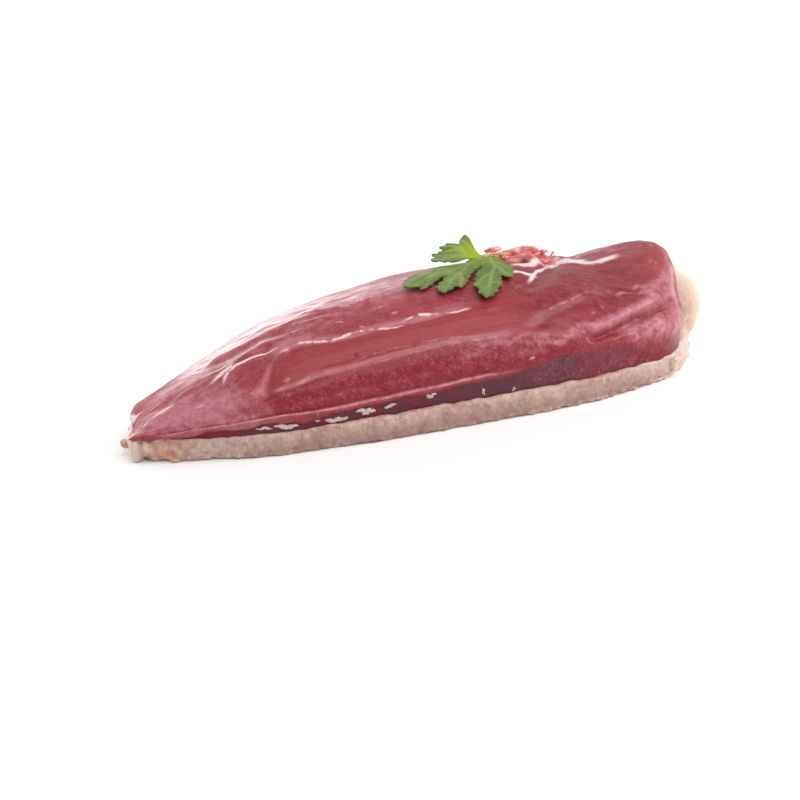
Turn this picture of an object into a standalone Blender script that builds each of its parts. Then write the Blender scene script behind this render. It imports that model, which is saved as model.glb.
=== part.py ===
# A raw duck breast, lying skin down with its lean side up, and a parsley leaf on its ridge.
# +X runs along the breast from the narrow tip to the blunt end, -Y is the side that was
# trimmed straight and +Z is up. The origin is on the flat underside of the skin.
import math

import bmesh
import bpy
from mathutils import Vector, noise

MM = 0.001

# The lean meat, in millimetres. Stations read (x, value) along the breast.
MEAT_TIP_X = -82.9
MEAT_END_X = 89.8
MEAT_NEAR_Y = [(-84, -24), (-66, -33.4), (-50, -39.7), (-20, -43.7), (10, -45.2), (40, -45.6), (60, -42.2),
               (76, -40.6), (87, -25.3)]
MEAT_FAR_Y = [(-84, -3), (-60, 10), (-30, 23), (10, 31), (45, 33), (75, 32), (87, 29)]
MEAT_AXIS_Y = [(-84, -23.8), (-50, -10), (0, -4), (50, -2), (87, -1)]
RIDGE_Y = [(-84, -16.3), (-60, -12), (-30, -10), (10, -9), (50, -6), (87, 3)]
RIDGE_Z = [(-84, 8.6), (-66, 17.1), (-54, 22.1), (-40, 27.2), (-20, 31.4), (5, 34), (30, 33.6),
           (50, 30.8), (62, 28.6), (72, 29.8), (80, 30.9), (87, 31.3)]
LIP_Z = [(-84, 7.5), (-60, 9), (-40, 10.5), (-10, 13), (20, 14.5), (50, 14.8), (72, 12.5), (87, 10)]
FLANK_Z = [(-84, 8.6), (-60, 8.5), (-30, 11), (10, 13), (60, 15), (87, 16)]
TIP_PLAN_ROUND = 5.7
TIP_SIDE_ROUND = 5
TIP_AXIS_Z = 6.3
END_PLAN_ROUND = 41.7
END_SIDE_ROUND = 8.6
END_AXIS_Z = 24.2
NOSE_POWER = 2.3
# Under the lip a dark band of membrane is drawn in; the meat's floor sinks into the fat.
BAND_INSET = 0.9
FLOOR_SINK = 0.6
FLANK_TUCK = 13

# The skin with its layer of fat, in millimetres.
SKIN_TIP_X = -84.4
SKIN_END_X = 93.5
SKIN_NEAR_Y = [(-84, -27), (-66, -33.4), (-50, -39.9), (-20, -44.5), (10, -46), (40, -46.3), (60, -42.3),
               (78, -39.6), (95, -26.6)]
SKIN_FAR_Y = [(-84, -5.1), (-60, 13), (-30, 28), (10, 38), (45, 41), (75, 40), (95, 37)]
SKIN_AXIS_Y = [(-84, -22.6), (-50, -9), (0, -3), (50, -1), (95, 8.8)]
SKIN_TIP_ROUND = 15.9
SKIN_END_ROUND = 44.3
SKIN_CENTRE = (5, -3, 0)
FAT_THICK = [(-84, 6.6), (-60, 6.5), (-30, 6.7), (0, 7.1), (40, 7.2), (60, 6.8), (95, 6.8)]
RIM_THICK = [(-84, 3), (-70, 9), (95, 9)]
RIM_FAR_Z = [(-84, 5.5), (-60, 6.5), (-40, 10), (0, 15), (60, 18.5), (95, 21)]
LOBE_Z = 22.8
LOBE_BULGE = 6.7
LOBE_LIFT = 0.92
FAR_BULGE = 3
TIP_BULGE = 0.8
SLAB_SQUARENESS = 0.25
CRUMB_HEIGHT = 0.35
CRUMB_SIZE = 4
# Where the rim changes, in half turns round the outline from the tip by the near side: a change
# starts and ends, then starts and ends again where it goes back.
LOBE_TURNS = (0.92, 0.95, 1.03, 1.30)
FAR_TURNS = (1.0, 1.2, 1.8, 2.0)
TIP_TURNS = (0, 0.14, 1.8, 2.0)

# Creases, folds and torn crags of the meat: a path of (x, rise) points, then the half width and
# the height, below 0 for a crease. Rise is 0 at the near lip, 1 on the ridge, 2 at the far flank.
CREASES = {
    "lip roll": ([(-70, 0.13), (-50, 0.16), (-20, 0.13), (30, 0.13)], 2.5, -0.5),
    "lower seam": ([(-49, 0.30), (-26, 0.35), (0, 0.34), (32, 0.34)], 2.2, -0.8),
    "upper seam": ([(-38, 0.64), (-27, 0.59), (-9, 0.56), (16, 0.58)], 2.0, -0.7),
    "left arc": ([(-44, 0.74), (-45, 0.51), (-49, 0.30)], 2.2, -0.7),
    "left fold": ([(-57, 0.67), (-51, 0.78), (-44, 0.80), (-38, 0.76)], 2.4, 1.0),
    "top folds": ([(-56, 1.00), (-45, 0.93), (-28, 0.92), (-12, 0.88)], 2.6, 0.9),
    "valley": ([(35, 0.74), (41, 0.85), (48, 1.01), (60, 1.30)], 4.0, -1.8),
    "pale line": ([(31, 0.40), (47, 0.53), (52, 0.60)], 2.0, -0.6),
    "end groove": ([(79, 0.27), (69, 0.29), (63, 0.27), (54, 0.18), (47, 0.13)], 2.2, -1.9),
    "end welt": ([(78, 0.44), (70, 0.41), (61, 0.35), (48, 0.23)], 3.4, 0.9),
    "end lobe": ([(66, 0.10), (77, 0.08)], 7.0, 1.2),
    "tip fold": ([(-78, 0.35), (-68, 0.55), (-60, 0.50)], 2.5, -0.7),
    "far fold": ([(-30, 1.45), (10, 1.50), (45, 1.40)], 5.0, -1.2),
}
CRAG_FIRST_X = 35
CRAG_STEP_X = 5.5
CRAG_RISES = [1.24, 1.34, 1.20, 1.30, 1.22]
CRAG_HALF_WIDTH = 2.8
CRAG_HEIGHT = 2.4
CRAG_SLANT = 0.5
CRAG_REACH = 0.05
ARC_LENGTH = 45

# The parsley leaf, in millimetres. Its outline reads (bearing in degrees, reach): bearing 0
# points to the breast's tip, above 0 the blade stands up, below 0 it lies down the near slope.
LEAF_X = 29.6
LEAF_Y = -3.2
LEAF_LIFT = 1.9
LEAF_TIP_LIFT = 1
LEAF_SLOPE_LIFT = 0.6
LEAF_THICK = 0.5
LEAF_HEART = 1.6
LEAF_OPEN = 9
LEAF_WAVE = 0.4
LEAF_RIPPLE = 0.5
LEAF_FOLDS = 6
LEAF_TILT = 35
UPRIGHT_LEAFLET = [(76, 3), (73, 10), (60, 10.2), (46, 9.3), (38, 11.8), (30, 13.8), (22, 13.2),
                   (16, 15.8), (10, 15.4), (5, 16.8), (3, 11), (-2, 5)]
LONG_LEAFLET = [(-7, 13), (-10, 21), (-15, 28), (-23, 32.5), (-28, 33), (-31, 30.5), (-34, 32), (-36.5, 21.5),
                (-39, 27.5), (-45, 31), (-49, 29), (-51, 26), (-54, 27), (-55, 18), (-57.5, 8)]
NEAR_LEAFLET = [(-60, 14), (-60.5, 24.5), (-63, 24), (-66, 29.3), (-71, 30), (-76, 26.8), (-78, 23.8),
                (-80, 25), (-84, 16.5), (-89, 18.8), (-95, 18), (-104, 13.5), (-117, 11), (-122, 6),
                (-126, 3)]
LEAF_Y_REACH = 28
LEAF_GRID = 2.2
LEAF_GRID_LINES = 15
STEM_LENGTH = 8
STEM_RADIUS = 0.6
STEM_TAPER = 0.4
STEM_FLATNESS = 0.6
STEM_DRIFT_Y = 1.2
STEM_ARCH = 0.9
STEM_DROP = 0.5
KNOB_RADIUS = 1.6
KNOB_PLACE = 0.1
KNOB_LENGTH = 0.12

CLEARANCE = 0.35

# How many steps each stretch of the meat's section has, from the near floor corner round.
SECTION_STEPS = {"band": 3, "front": 20, "back": 13, "flank": 5, "floor": 11}
MEAT_STATIONS = 60
SKIN_STEPS_ROUND = 96
RIM_STEPS = 10
FLOOR_RINGS = 2


def along(stations, x):
    # Value at x of a smooth curve through the stations.
    last = len(stations) - 1
    x = min(max(x, stations[0][0]), stations[last][0])
    left = 0
    while left < last - 1 and x > stations[left + 1][0]:
        left += 1
    slopes = []
    for i in (left, left + 1):
        before, after = stations[max(i - 1, 0)], stations[min(i + 1, last)]
        slopes.append((after[1] - before[1]) / (after[0] - before[0]))
    start, stop = stations[left], stations[left + 1]
    span = stop[0] - start[0]
    t = (x - start[0]) / span
    return ((2 * t**3 - 3 * t**2 + 1) * start[1] + (t**3 - 2 * t**2 + t) * span * slopes[0]
            + (3 * t**2 - 2 * t**3) * stop[1] + (t**3 - t**2) * span * slopes[1])


def smooth_step(low, high, value):
    t = min(max((value - low) / (high - low), 0), 1)
    return t * t * (3 - 2 * t)


def end_share(x, tip, end, tip_round, end_round):
    # 1 along the middle of a length, falling to 0 in a round nose at each end.
    a = min(max((tip + tip_round - x) / tip_round, 0), 1)
    b = min(max((x - end + end_round) / end_round, 0), 1)
    return ((1 - a**NOSE_POWER) * (1 - b**NOSE_POWER)) ** (1 / NOSE_POWER)


def meat_point(x, stretch, t):
    # A point of the meat's section at x, t running from 0 to 1 along one stretch of it.
    near = along(MEAT_NEAR_Y, x)
    far = along(MEAT_FAR_Y, x)
    floor = along(FAT_THICK, x) - FLOOR_SINK
    lip = along(LIP_Z, x)
    flank = along(FLANK_Z, x)
    ridge_y = along(RIDGE_Y, x)
    ridge_z = along(RIDGE_Z, x)
    turn = t * math.pi / 2
    if stretch == "band":
        y = near + BAND_INSET * (1 - t * t)
        z = floor + (lip - floor) * t
    elif stretch == "front":
        y = ridge_y + (near - ridge_y) * math.cos(turn)
        z = lip + (ridge_z - lip) * math.sin(turn)
    elif stretch == "back":
        y = ridge_y + (far - ridge_y) * math.sin(turn)
        z = flank + (ridge_z - flank) * math.cos(turn)
    elif stretch == "flank":
        y = far - FLANK_TUCK * (1 - math.cos(turn))
        z = flank - (flank - floor) * math.sin(turn)
    else:
        y = far - FLANK_TUCK + (near + BAND_INSET - far + FLANK_TUCK) * t
        z = floor
    axis_y = along(MEAT_AXIS_Y, x)
    axis_z = TIP_AXIS_Z if x < 0 else END_AXIS_Z
    plan = end_share(x, MEAT_TIP_X, MEAT_END_X, TIP_PLAN_ROUND, END_PLAN_ROUND)
    side = end_share(x, MEAT_TIP_X, MEAT_END_X, TIP_SIDE_ROUND, END_SIDE_ROUND)
    return Vector((x, axis_y + (y - axis_y) * plan, axis_z + (z - axis_z) * side))


def meat_top(x, y):
    # Height of the smooth lean side over a place between its ends.
    ridge_y = along(RIDGE_Y, x)
    if y < ridge_y:
        reach = ridge_y - along(MEAT_NEAR_Y, x)
        low = along(LIP_Z, x)
    else:
        reach = along(MEAT_FAR_Y, x) - ridge_y
        low = along(FLANK_Z, x)
    return low + (along(RIDGE_Z, x) - low) * math.sqrt(max(1 - ((y - ridge_y) / reach) ** 2, 0))


def section_place(step):
    # The stretch that holds a step of the section, and how far along it the step is.
    for stretch, count in SECTION_STEPS.items():
        if step < count:
            return stretch, step / count
        step -= count
    return "band", 0


def rise_of(stretch, t):
    # 0 at the near lip, 1 on the ridge, 2 at the far flank, and off the scale elsewhere.
    return {"front": t, "back": 1 + t}.get(stretch, -1)


def crags():
    # Short torn ridges side by side behind the ridge, each across the breast.
    for count, rise in enumerate(CRAG_RISES):
        x = CRAG_FIRST_X + CRAG_STEP_X * count
        path = [(x - CRAG_SLANT, rise - CRAG_REACH), (x + CRAG_SLANT, rise + CRAG_REACH)]
        yield path, CRAG_HALF_WIDTH, CRAG_HEIGHT


def distance_to_path(x, rise, path):
    here = Vector((x, rise * ARC_LENGTH))
    best = math.inf
    for (xa, ra), (xb, rb) in zip(path, path[1:]):
        a, b = Vector((xa, ra * ARC_LENGTH)), Vector((xb, rb * ARC_LENGTH))
        t = min(max((here - a).dot(b - a) / (b - a).length_squared, 0), 1)
        best = min(best, (here - a.lerp(b, t)).length)
    return best


def relief(x, rise):
    # Height of the creases and folds over the smooth surface.
    total = 0
    for path, half_width, height in [*CREASES.values(), *crags()]:
        total += height * math.exp(-(distance_to_path(x, rise, path) / half_width) ** 2)
    return total


def material(name, colour, roughness):
    made = bpy.data.materials.new(name)
    made.use_nodes = True
    shader = made.node_tree.nodes["Principled BSDF"]
    shader.inputs["Base Color"].default_value = (*colour, 1)
    shader.inputs["Roughness"].default_value = roughness
    shader.inputs["Metallic"].default_value = 0
    return made


def face_out(bm):
    # Turn the faces of a closed mesh outwards, after its points were moved.
    bm.normal_update()
    bmesh.ops.recalc_face_normals(bm, faces=bm.faces)
    bm.normal_update()


def add_object(name, bm, made_of):
    # Turn a mesh worked out in millimetres into a named object in metres.
    bmesh.ops.scale(bm, vec=(MM, MM, MM), verts=bm.verts)
    face_out(bm)
    mesh = bpy.data.meshes.new(name)
    bm.to_mesh(mesh)
    bm.free()
    mesh.shade_smooth()
    mesh.materials.append(made_of)
    thing = bpy.data.objects.new(name, mesh)
    bpy.context.scene.collection.objects.link(thing)
    return thing


def meat_mesh(swell=0):
    # The meat as a ball whose poles are the tip and the blunt end, pressed into its sections.
    around = sum(SECTION_STEPS.values())
    bm = bmesh.new()
    bmesh.ops.create_uvsphere(bm, u_segments=around, v_segments=MEAT_STATIONS, radius=1)
    heights = {}
    for vert in bm.verts:
        share = (1 + vert.co.z) / 2
        x = MEAT_TIP_X + (MEAT_END_X - MEAT_TIP_X) * share
        step = round(math.atan2(vert.co.y, vert.co.x) / math.tau * around) % around
        stretch, t = section_place(step)
        heights[vert] = relief(x, rise_of(stretch, t))
        vert.co = meat_point(x, stretch, t)
    face_out(bm)
    for vert, normal in [(v, v.normal.copy()) for v in bm.verts]:
        vert.co += normal * heights[vert]
    bm.normal_update()
    for vert, normal in [(v, v.normal.copy()) for v in bm.verts]:
        vert.co += normal * swell
    return bm


def skin_edge(turn):
    # The outline of the skin: turn 0 is the tip, a half turn the blunt end, by the near side.
    middle = (SKIN_TIP_X + SKIN_END_X) / 2
    x = middle - (SKIN_END_X - SKIN_TIP_X) / 2 * math.cos(turn)
    side = SKIN_NEAR_Y if math.sin(turn) > 0 else SKIN_FAR_Y
    axis_y = along(SKIN_AXIS_Y, x)
    share = end_share(x, SKIN_TIP_X, SKIN_END_X, SKIN_TIP_ROUND, SKIN_END_ROUND)
    return Vector((x, axis_y + (along(side, x) - axis_y) * share, 0))


def skin_rim(turn):
    # Height, bulge and squareness of the rim there: a cut slab near, a rounded lobe elsewhere.
    # The last value is the share of the tall lobe at the blunt end.
    half_turns = turn / math.pi
    x = skin_edge(turn).x
    lobe = smooth_step(*LOBE_TURNS[:2], half_turns) * (1 - smooth_step(*LOBE_TURNS[2:], half_turns))
    back = smooth_step(*FAR_TURNS[:2], half_turns) * (1 - smooth_step(*FAR_TURNS[2:], half_turns))
    tip = max(1 - smooth_step(*TIP_TURNS[:2], half_turns), smooth_step(*TIP_TURNS[2:], half_turns))
    slab = along(FAT_THICK, x)
    height = slab + (along(RIM_FAR_Z, x) - slab) * back
    height += (LOBE_Z - height) * lobe
    bulge = LOBE_BULGE * lobe + FAR_BULGE * back * (1 - lobe) + TIP_BULGE * tip
    square = SLAB_SQUARENESS + (1 - SLAB_SQUARENESS) * max(lobe, back, tip / 2)
    return height, bulge, square, lobe


def skin_mesh():
    # The fat as a ball flattened to a slab: floor rings, the rim, and the flat underside.
    bm = bmesh.new()
    rings = FLOOR_RINGS + RIM_STEPS + FLOOR_RINGS
    bmesh.ops.create_uvsphere(bm, u_segments=SKIN_STEPS_ROUND, v_segments=rings, radius=1)
    centre = Vector(SKIN_CENTRE)
    for vert in bm.verts:
        ring = round(math.acos(min(max(vert.co.z, -1), 1)) / math.pi * rings)
        turn = math.atan2(vert.co.y, vert.co.x) % math.tau
        edge = skin_edge(turn)
        ahead = skin_edge(turn + 0.02) - skin_edge(turn - 0.02)
        outward = Vector((ahead.y, -ahead.x, 0)).normalized()
        height, bulge, square, lobe = skin_rim(turn)
        inset = along(RIM_THICK, edge.x) / 2
        if ring < FLOOR_RINGS:
            share = ring / FLOOR_RINGS
            vert.co = centre.lerp(edge - outward * inset, share)
            middle = along(FAT_THICK, vert.co.x)
            vert.co.z = middle + (height - middle) * share
        elif ring > FLOOR_RINGS + RIM_STEPS:
            share = (rings - ring) / FLOOR_RINGS
            vert.co = centre.lerp(edge - outward * inset, share)
        else:
            tilt = math.pi / 2 - (ring - FLOOR_RINGS) / RIM_STEPS * math.pi
            out = abs(math.cos(tilt)) ** square
            lift = math.copysign(abs(math.sin(tilt)) ** square, math.sin(tilt))
            vert.co = edge + outward * (out * (inset + bulge) - inset)
            vert.co.z = height * ((1 + lift) / 2) ** (1 + (LOBE_LIFT - 1) * lobe)
            crumb = noise.noise(vert.co / CRUMB_SIZE) * CRUMB_HEIGHT * 2 * out
            vert.co += outward * crumb
    return bm


def make_breast():
    lean = material("lean_meat", (0.34, 0.05, 0.06), 0.32)
    fat = material("pale_fat", (0.82, 0.62, 0.52), 0.45)
    meat = add_object("breast_meat", meat_mesh(), lean)
    skin = add_object("fat_skin", skin_mesh(), fat)
    hollow = add_object("meat_hollow", meat_mesh(swell=CLEARANCE), fat)
    hollow.hide_render = True
    hollow.display_type = "WIRE"
    cut = skin.modifiers.new("bed of the meat", "BOOLEAN")
    cut.operation = "DIFFERENCE"
    cut.solver = "EXACT"
    cut.object = hollow
    return meat, skin


def leaf_point(back, across):
    # A place of the flat blade, bent up behind the heart and draped on the meat before it.
    x = LEAF_X - back
    y = LEAF_Y + across
    reach = math.hypot(back, across)
    heart_z = along(RIDGE_Z, LEAF_X) + LEAF_LIFT
    opened = smooth_step(LEAF_HEART, LEAF_OPEN, reach)
    folds = math.cos(math.atan2(across, back) * LEAF_FOLDS)
    wave = LEAF_WAVE * opened * math.sin(reach * LEAF_RIPPLE) * folds
    if across >= 0:
        tilt = math.radians(LEAF_TILT) * opened
        return Vector((x, LEAF_Y + across * math.cos(tilt), heart_z + across * math.sin(tilt) + wave))
    lift = LEAF_LIFT + (LEAF_TIP_LIFT - LEAF_LIFT) * opened + LEAF_SLOPE_LIFT * (across / LEAF_Y_REACH) ** 2
    return Vector((x, y, heart_z + (meat_top(x, y) + lift - heart_z) * opened + wave))


def leaf_mesh():
    # The outline filled, cut along a square grid and split into triangles, then bent.
    bm = bmesh.new()
    corners = []
    for bearing, reach in UPRIGHT_LEAFLET + LONG_LEAFLET + NEAR_LEAFLET:
        turn = math.radians(bearing)
        corners.append(bm.verts.new((reach * math.cos(turn), reach * math.sin(turn), 0)))
    bm.faces.new(corners)
    for step in range(-LEAF_GRID_LINES, LEAF_GRID_LINES + 1):
        cut = (step + 0.5) * LEAF_GRID
        for facing in ((1, 0, 0), (0, 1, 0)):
            everything = [*bm.verts, *bm.edges, *bm.faces]
            bmesh.ops.bisect_plane(bm, geom=everything, dist=0.05, plane_co=(cut, cut, 0), plane_no=facing)
    bmesh.ops.triangulate(bm, faces=bm.faces)
    for vert in bm.verts:
        vert.co = leaf_point(vert.co.x, vert.co.y)
    return bm


def stem_mesh():
    # A thin tapered stalk along the ridge, with a knob where the leaflets meet.
    bm = bmesh.new()
    bmesh.ops.create_uvsphere(bm, u_segments=8, v_segments=12, radius=1)
    ridge = along(RIDGE_Z, LEAF_X) + LEAF_LIFT
    for vert in bm.verts:
        share = (1 + vert.co.z) / 2
        turn = math.atan2(vert.co.y, vert.co.x)
        knob = (KNOB_RADIUS - STEM_RADIUS) * math.exp(-((share - KNOB_PLACE) / KNOB_LENGTH) ** 2)
        radius = STEM_RADIUS * (1 - STEM_TAPER * share) + knob
        radius *= min(math.hypot(vert.co.x, vert.co.y) * 2, 1)
        x = LEAF_X - KNOB_RADIUS + STEM_LENGTH * share
        y = LEAF_Y + STEM_DRIFT_Y * share + radius * math.cos(turn)
        z = ridge + STEM_ARCH * math.sin(math.pi * share) - STEM_DROP * share
        vert.co = Vector((x, y, z + STEM_FLATNESS * radius * math.sin(turn)))
    return bm


def make_leaf():
    green = material("parsley_green", (0.16, 0.28, 0.04), 0.5)
    leaf = add_object("parsley_leaf", leaf_mesh(), green)
    stem = add_object("leaf_stem", stem_mesh(), green)
    stem.hide_render = True
    stem.display_type = "WIRE"
    thicken = leaf.modifiers.new("thickness", "SOLIDIFY")
    thicken.thickness = LEAF_THICK * MM
    thicken.offset = 0
    join = leaf.modifiers.new("stem", "BOOLEAN")
    join.operation = "UNION"
    join.solver = "EXACT"
    join.object = stem
    return leaf


def clear_scene():
    for thing in list(bpy.data.objects):
        bpy.data.objects.remove(thing)


def main():
    clear_scene()
    make_breast()
    make_leaf()


main()
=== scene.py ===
import math
from functools import partial

import bmesh
import bpy
import numpy as np
from mathutils import Matrix, Vector, noise
from mathutils.bvhtree import BVHTree


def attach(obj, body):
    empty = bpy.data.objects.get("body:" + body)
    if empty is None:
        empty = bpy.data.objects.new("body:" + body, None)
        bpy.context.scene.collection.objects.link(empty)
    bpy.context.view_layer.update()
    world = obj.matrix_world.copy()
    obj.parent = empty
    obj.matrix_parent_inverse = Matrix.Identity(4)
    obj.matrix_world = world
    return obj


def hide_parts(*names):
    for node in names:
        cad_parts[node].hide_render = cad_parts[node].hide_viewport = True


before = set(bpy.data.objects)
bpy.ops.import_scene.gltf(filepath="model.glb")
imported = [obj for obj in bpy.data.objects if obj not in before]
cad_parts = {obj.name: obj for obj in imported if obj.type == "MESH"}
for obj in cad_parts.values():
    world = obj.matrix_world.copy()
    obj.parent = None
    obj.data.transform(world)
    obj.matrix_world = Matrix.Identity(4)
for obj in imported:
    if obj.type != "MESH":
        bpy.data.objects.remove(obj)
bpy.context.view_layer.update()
print("frame loaded: " + ", ".join(sorted(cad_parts)))

# Forms are worked out in millimetres, in the frame's axes, and scaled to metres as the last step.
mm = 0.001


# Curves, noise and meshes that every piece uses

def blended(t, here, there, start, stop):
    # the smooth curve from here to there that leaves and arrives with the slopes given
    return ((2 * t**3 - 3 * t**2 + 1) * here + (t**3 - 2 * t**2 + t) * start
            + ((3 * t**2 - 2 * t**3) * there + (t**3 - t**2) * stop))


def curveAt(stations, x):
    # a smooth curve through (place, value) stations, read at every x
    places, values = np.array(stations, float).T
    x = np.clip(x, places[0], places[-1])
    left = np.clip(np.searchsorted(places, x, side="right") - 1, 0, len(places) - 2)
    before = np.maximum(np.arange(len(places)) - 1, 0)
    after = np.minimum(np.arange(len(places)) + 1, len(places) - 1)
    slope = (values[after] - values[before]) / (places[after] - places[before])
    span = places[left + 1] - places[left]
    t = (x - places[left]) / span
    return blended(t, values[left], values[left + 1], span * slope[left], span * slope[left + 1])


def smoothStep(low, high, value):
    t = np.clip((value - low) / (high - low), 0, 1)
    return t * t * (3 - 2 * t)


def bump(distance, half):
    return np.exp(-(distance / half) ** 2)


def within(x, spans):
    # 1 where x is inside, easing off over each (none, full) pair
    return math.prod(smoothStep(*span, x) for span in spans)


def noiseAt(places, size, seed):
    # one soft random value at every place, about -0.7 to 0.7, with lumps of the size given
    points = places / np.array(size, float) + seed
    return np.array([noise.noise(point) for point in points.tolist()])


def noisy(places, noises):
    # the sum of several noises, each given as (height, size, seed)
    return sum(height * noiseAt(places, size, seed) for height, size, seed in noises)


def smoothPath(path, steps=4):
    # the same path with its corners rounded
    points = np.array(path, float)
    run = np.concatenate([[0], np.cumsum(np.hypot(*np.diff(points, axis=0).T))])
    even = np.linspace(0, run[-1], (len(points) - 1) * steps + 1)
    return list(zip(*(curveAt(list(zip(run, points[:, axis])), even) for axis in (0, 1))))


def pathGap(x, y, path):
    # how far every (x, y) is from a path, above 0 on one side of it and below on the other, and the
    # share of the path that is behind its nearest point
    best, share = np.full(len(x), 1000.0), np.zeros(len(x))
    for count, ((xa, ya), (xb, yb)) in enumerate(zip(path, path[1:])):
        dx, dy = xb - xa, yb - ya
        t = np.clip(((x - xa) * dx + (y - ya) * dy) / (dx * dx + dy * dy), 0, 1)
        gap = np.hypot(x - xa - dx * t, y - ya - dy * t)
        gap = np.where(dx * (y - ya) - dy * (x - xa) < 0, -gap, gap)
        nearer = np.abs(gap) < np.abs(best)
        best = np.where(nearer, gap, best)
        share = np.where(nearer, (count + t) / (len(path) - 1), share)
    return best, share


def pathDistance(x, y, path):
    return np.abs(pathGap(x, y, path)[0])


def readPlaces(verts):
    return np.array([vert.co for vert in verts])


def movePlaces(verts, places):
    for vert, place in zip(verts, places.tolist()):
        vert.co = place


def readNormals(bm):
    bm.normal_update()
    return np.array([vert.normal for vert in bm.verts])


def addRod(bm, around, along, blunt):
    # a ball drawn out: its points, how far along and round each is, and how it narrows at both ends
    made = bmesh.ops.create_uvsphere(bm, u_segments=around, v_segments=along, radius=1)["verts"]
    x, y, z = readPlaces(made).T
    return made, (1 + z) / 2, np.arctan2(y, x), np.minimum(np.hypot(x, y) * blunt, 1)


def addBlob(bm, subdivisions, centre, half, noises):
    # a lumpy ball: its points, and where they go round its centre
    made = bmesh.ops.create_icosphere(bm, subdivisions=subdivisions, radius=1)["verts"]
    ball = readPlaces(made)
    swell = 1 + noisy(ball, [(*each, centre) for each in noises])
    return made, ball * np.array(half) * swell[:, None]


def faceOut(bm):
    bm.normal_update()
    bmesh.ops.recalc_face_normals(bm, faces=bm.faces)
    bm.normal_update()


def addPiece(name, bm, finish, fields):
    # a bmesh in millimetres becomes a piece in metres, with a value per point for each field
    bmesh.ops.scale(bm, vec=(mm, mm, mm), verts=bm.verts)
    mesh = bpy.data.meshes.new(name)
    bm.to_mesh(mesh)
    bm.free()
    for label, values in fields.items():
        kind = "FLOAT" if values.ndim == 1 else "FLOAT_VECTOR"
        part = "value" if kind == "FLOAT" else "vector"
        data = mesh.attributes.new(label, kind, "POINT").data
        data.foreach_set(part, values.astype(np.float32).ravel())
    mesh.shade_smooth()
    mesh.materials.append(finish)
    piece = bpy.data.objects.new(name, mesh)
    bpy.context.scene.collection.objects.link(piece)
    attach(piece, "root")
    return piece


# Small helpers for materials

def srgb(red, green, blue):
    # a colour as a picture editor shows it, 0 to 255, to the shader's own scale
    parts = (((c / 255 + 0.055) / 1.055) ** 2.4 if c > 10 else c / 3295 for c in (red, green, blue))
    return (*parts, 1)


def palette(look):
    return {name: srgb(*value) for name, value in look.items()}


def newMaterial(name, **settings):
    # a setting's name is the shader's own, with _ for each space
    material = bpy.data.materials.new(name)
    material.use_nodes = True
    shader = material.node_tree.nodes["Principled BSDF"]
    for socket, value in settings.items():
        shader.inputs[socket.replace("_", " ")].default_value = value
    return material, shader, partial(field, material.node_tree)


def addNode(tree, kind, **settings):
    node = tree.nodes.new("ShaderNode" + kind)
    for setting, value in settings.items():
        setattr(node, setting, value)
    return node


def connect(value, socket):
    # a value is a number, a colour or another node's output
    if isinstance(value, bpy.types.NodeSocket):
        socket.id_data.links.new(value, socket)
    else:
        socket.default_value = value


def field(tree, name, output="Fac"):
    # a value, or with "Vector" a place, that the piece's points carry under this name
    return addNode(tree, "Attribute", attribute_name=name).outputs[output]


def placeOn(material):
    # where the surface is on the object, in millimetres
    tree = material.node_tree
    scaled = addNode(tree, "VectorMath", operation="SCALE")
    connect(addNode(tree, "TexCoord").outputs["Object"], scaled.inputs[0])
    scaled.inputs["Scale"].default_value = 1 / mm
    return scaled.outputs[0]


def patterned(node, vector, **settings):
    connect(vector, node.inputs["Vector"])
    for socket, value in settings.items():
        node.inputs[socket].default_value = value
    return node


def stretched(vector, turn, lengths):
    # a pattern drawn out to the lengths given, in millimetres, with the first one at an angle
    node = addNode(vector.id_data, "Mapping", vector_type="TEXTURE")
    return patterned(node, vector, Rotation=(0, 0, math.radians(turn)), Scale=lengths).outputs[0]


def grain(vector, scale, detail=3, roughness=0.6):
    node = addNode(vector.id_data, "TexNoise")
    return patterned(node, vector, Scale=scale, Detail=detail, Roughness=roughness).outputs["Fac"]


def cells(vector, scale, feature="F1", randomness=1):
    node = addNode(vector.id_data, "TexVoronoi", feature=feature)
    return patterned(node, vector, Scale=scale, Randomness=randomness).outputs["Distance"]


def ranged(value, low, high, lowest=0, highest=1):
    node = addNode(value.id_data, "MapRange", interpolation_type="SMOOTHSTEP")
    connect(value, node.inputs["Value"])
    for socket, number in zip(("From Min", "From Max", "To Min", "To Max"), (low, high, lowest, highest)):
        node.inputs[socket].default_value = number
    return node.outputs["Result"]


def worked(operation, first, second=0):
    # the first value is a node's output, the second may be a number
    node = addNode(first.id_data, "Math", operation=operation)
    connect(first, node.inputs[0])
    connect(second, node.inputs[1])
    return node.outputs[0]


def times(first, second):
    return worked("MULTIPLY", first, second)


def plus(first, second):
    return worked("ADD", first, second)


def minus(first, second):
    return worked("SUBTRACT", first, second)


def larger(first, second):
    return worked("MAXIMUM", first, second)


def mixed(factor, first, second):
    node = addNode(factor.id_data, "Mix", data_type="RGBA")
    for socket, value in (("Factor", factor), (6, first), (7, second)):
        connect(value, node.inputs[socket])
    return node.outputs[2]


def layered(colour, tint, layers):
    # each layer is a mask and the name of the tint that it lays over what is below
    for mask, name in layers:
        colour = mixed(mask, colour, tint[name])
    return colour


def dress(shader, colour, roughness, height, strength, distance):
    # a surface's colour, roughness and the height of its grain, as a bump this strong and deep
    node = addNode(height.id_data, "Bump")
    node.inputs["Strength"].default_value = strength
    node.inputs["Distance"].default_value = distance
    connect(height, node.inputs["Height"])
    connect(node.outputs[0], shader.inputs["Normal"])
    connect(colour, shader.inputs["Base Color"])
    connect(roughness, shader.inputs["Roughness"])


# The camera looks as the photograph was taken: from the trimmed side, a little above it.
photoView = {"lens": 85, "distance": 0.565, "azimuth": 16.5, "elevation": 18.31, "roll": -5.25,
             "aim": (-0.0003, -0.0015, -0.0040)}


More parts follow.
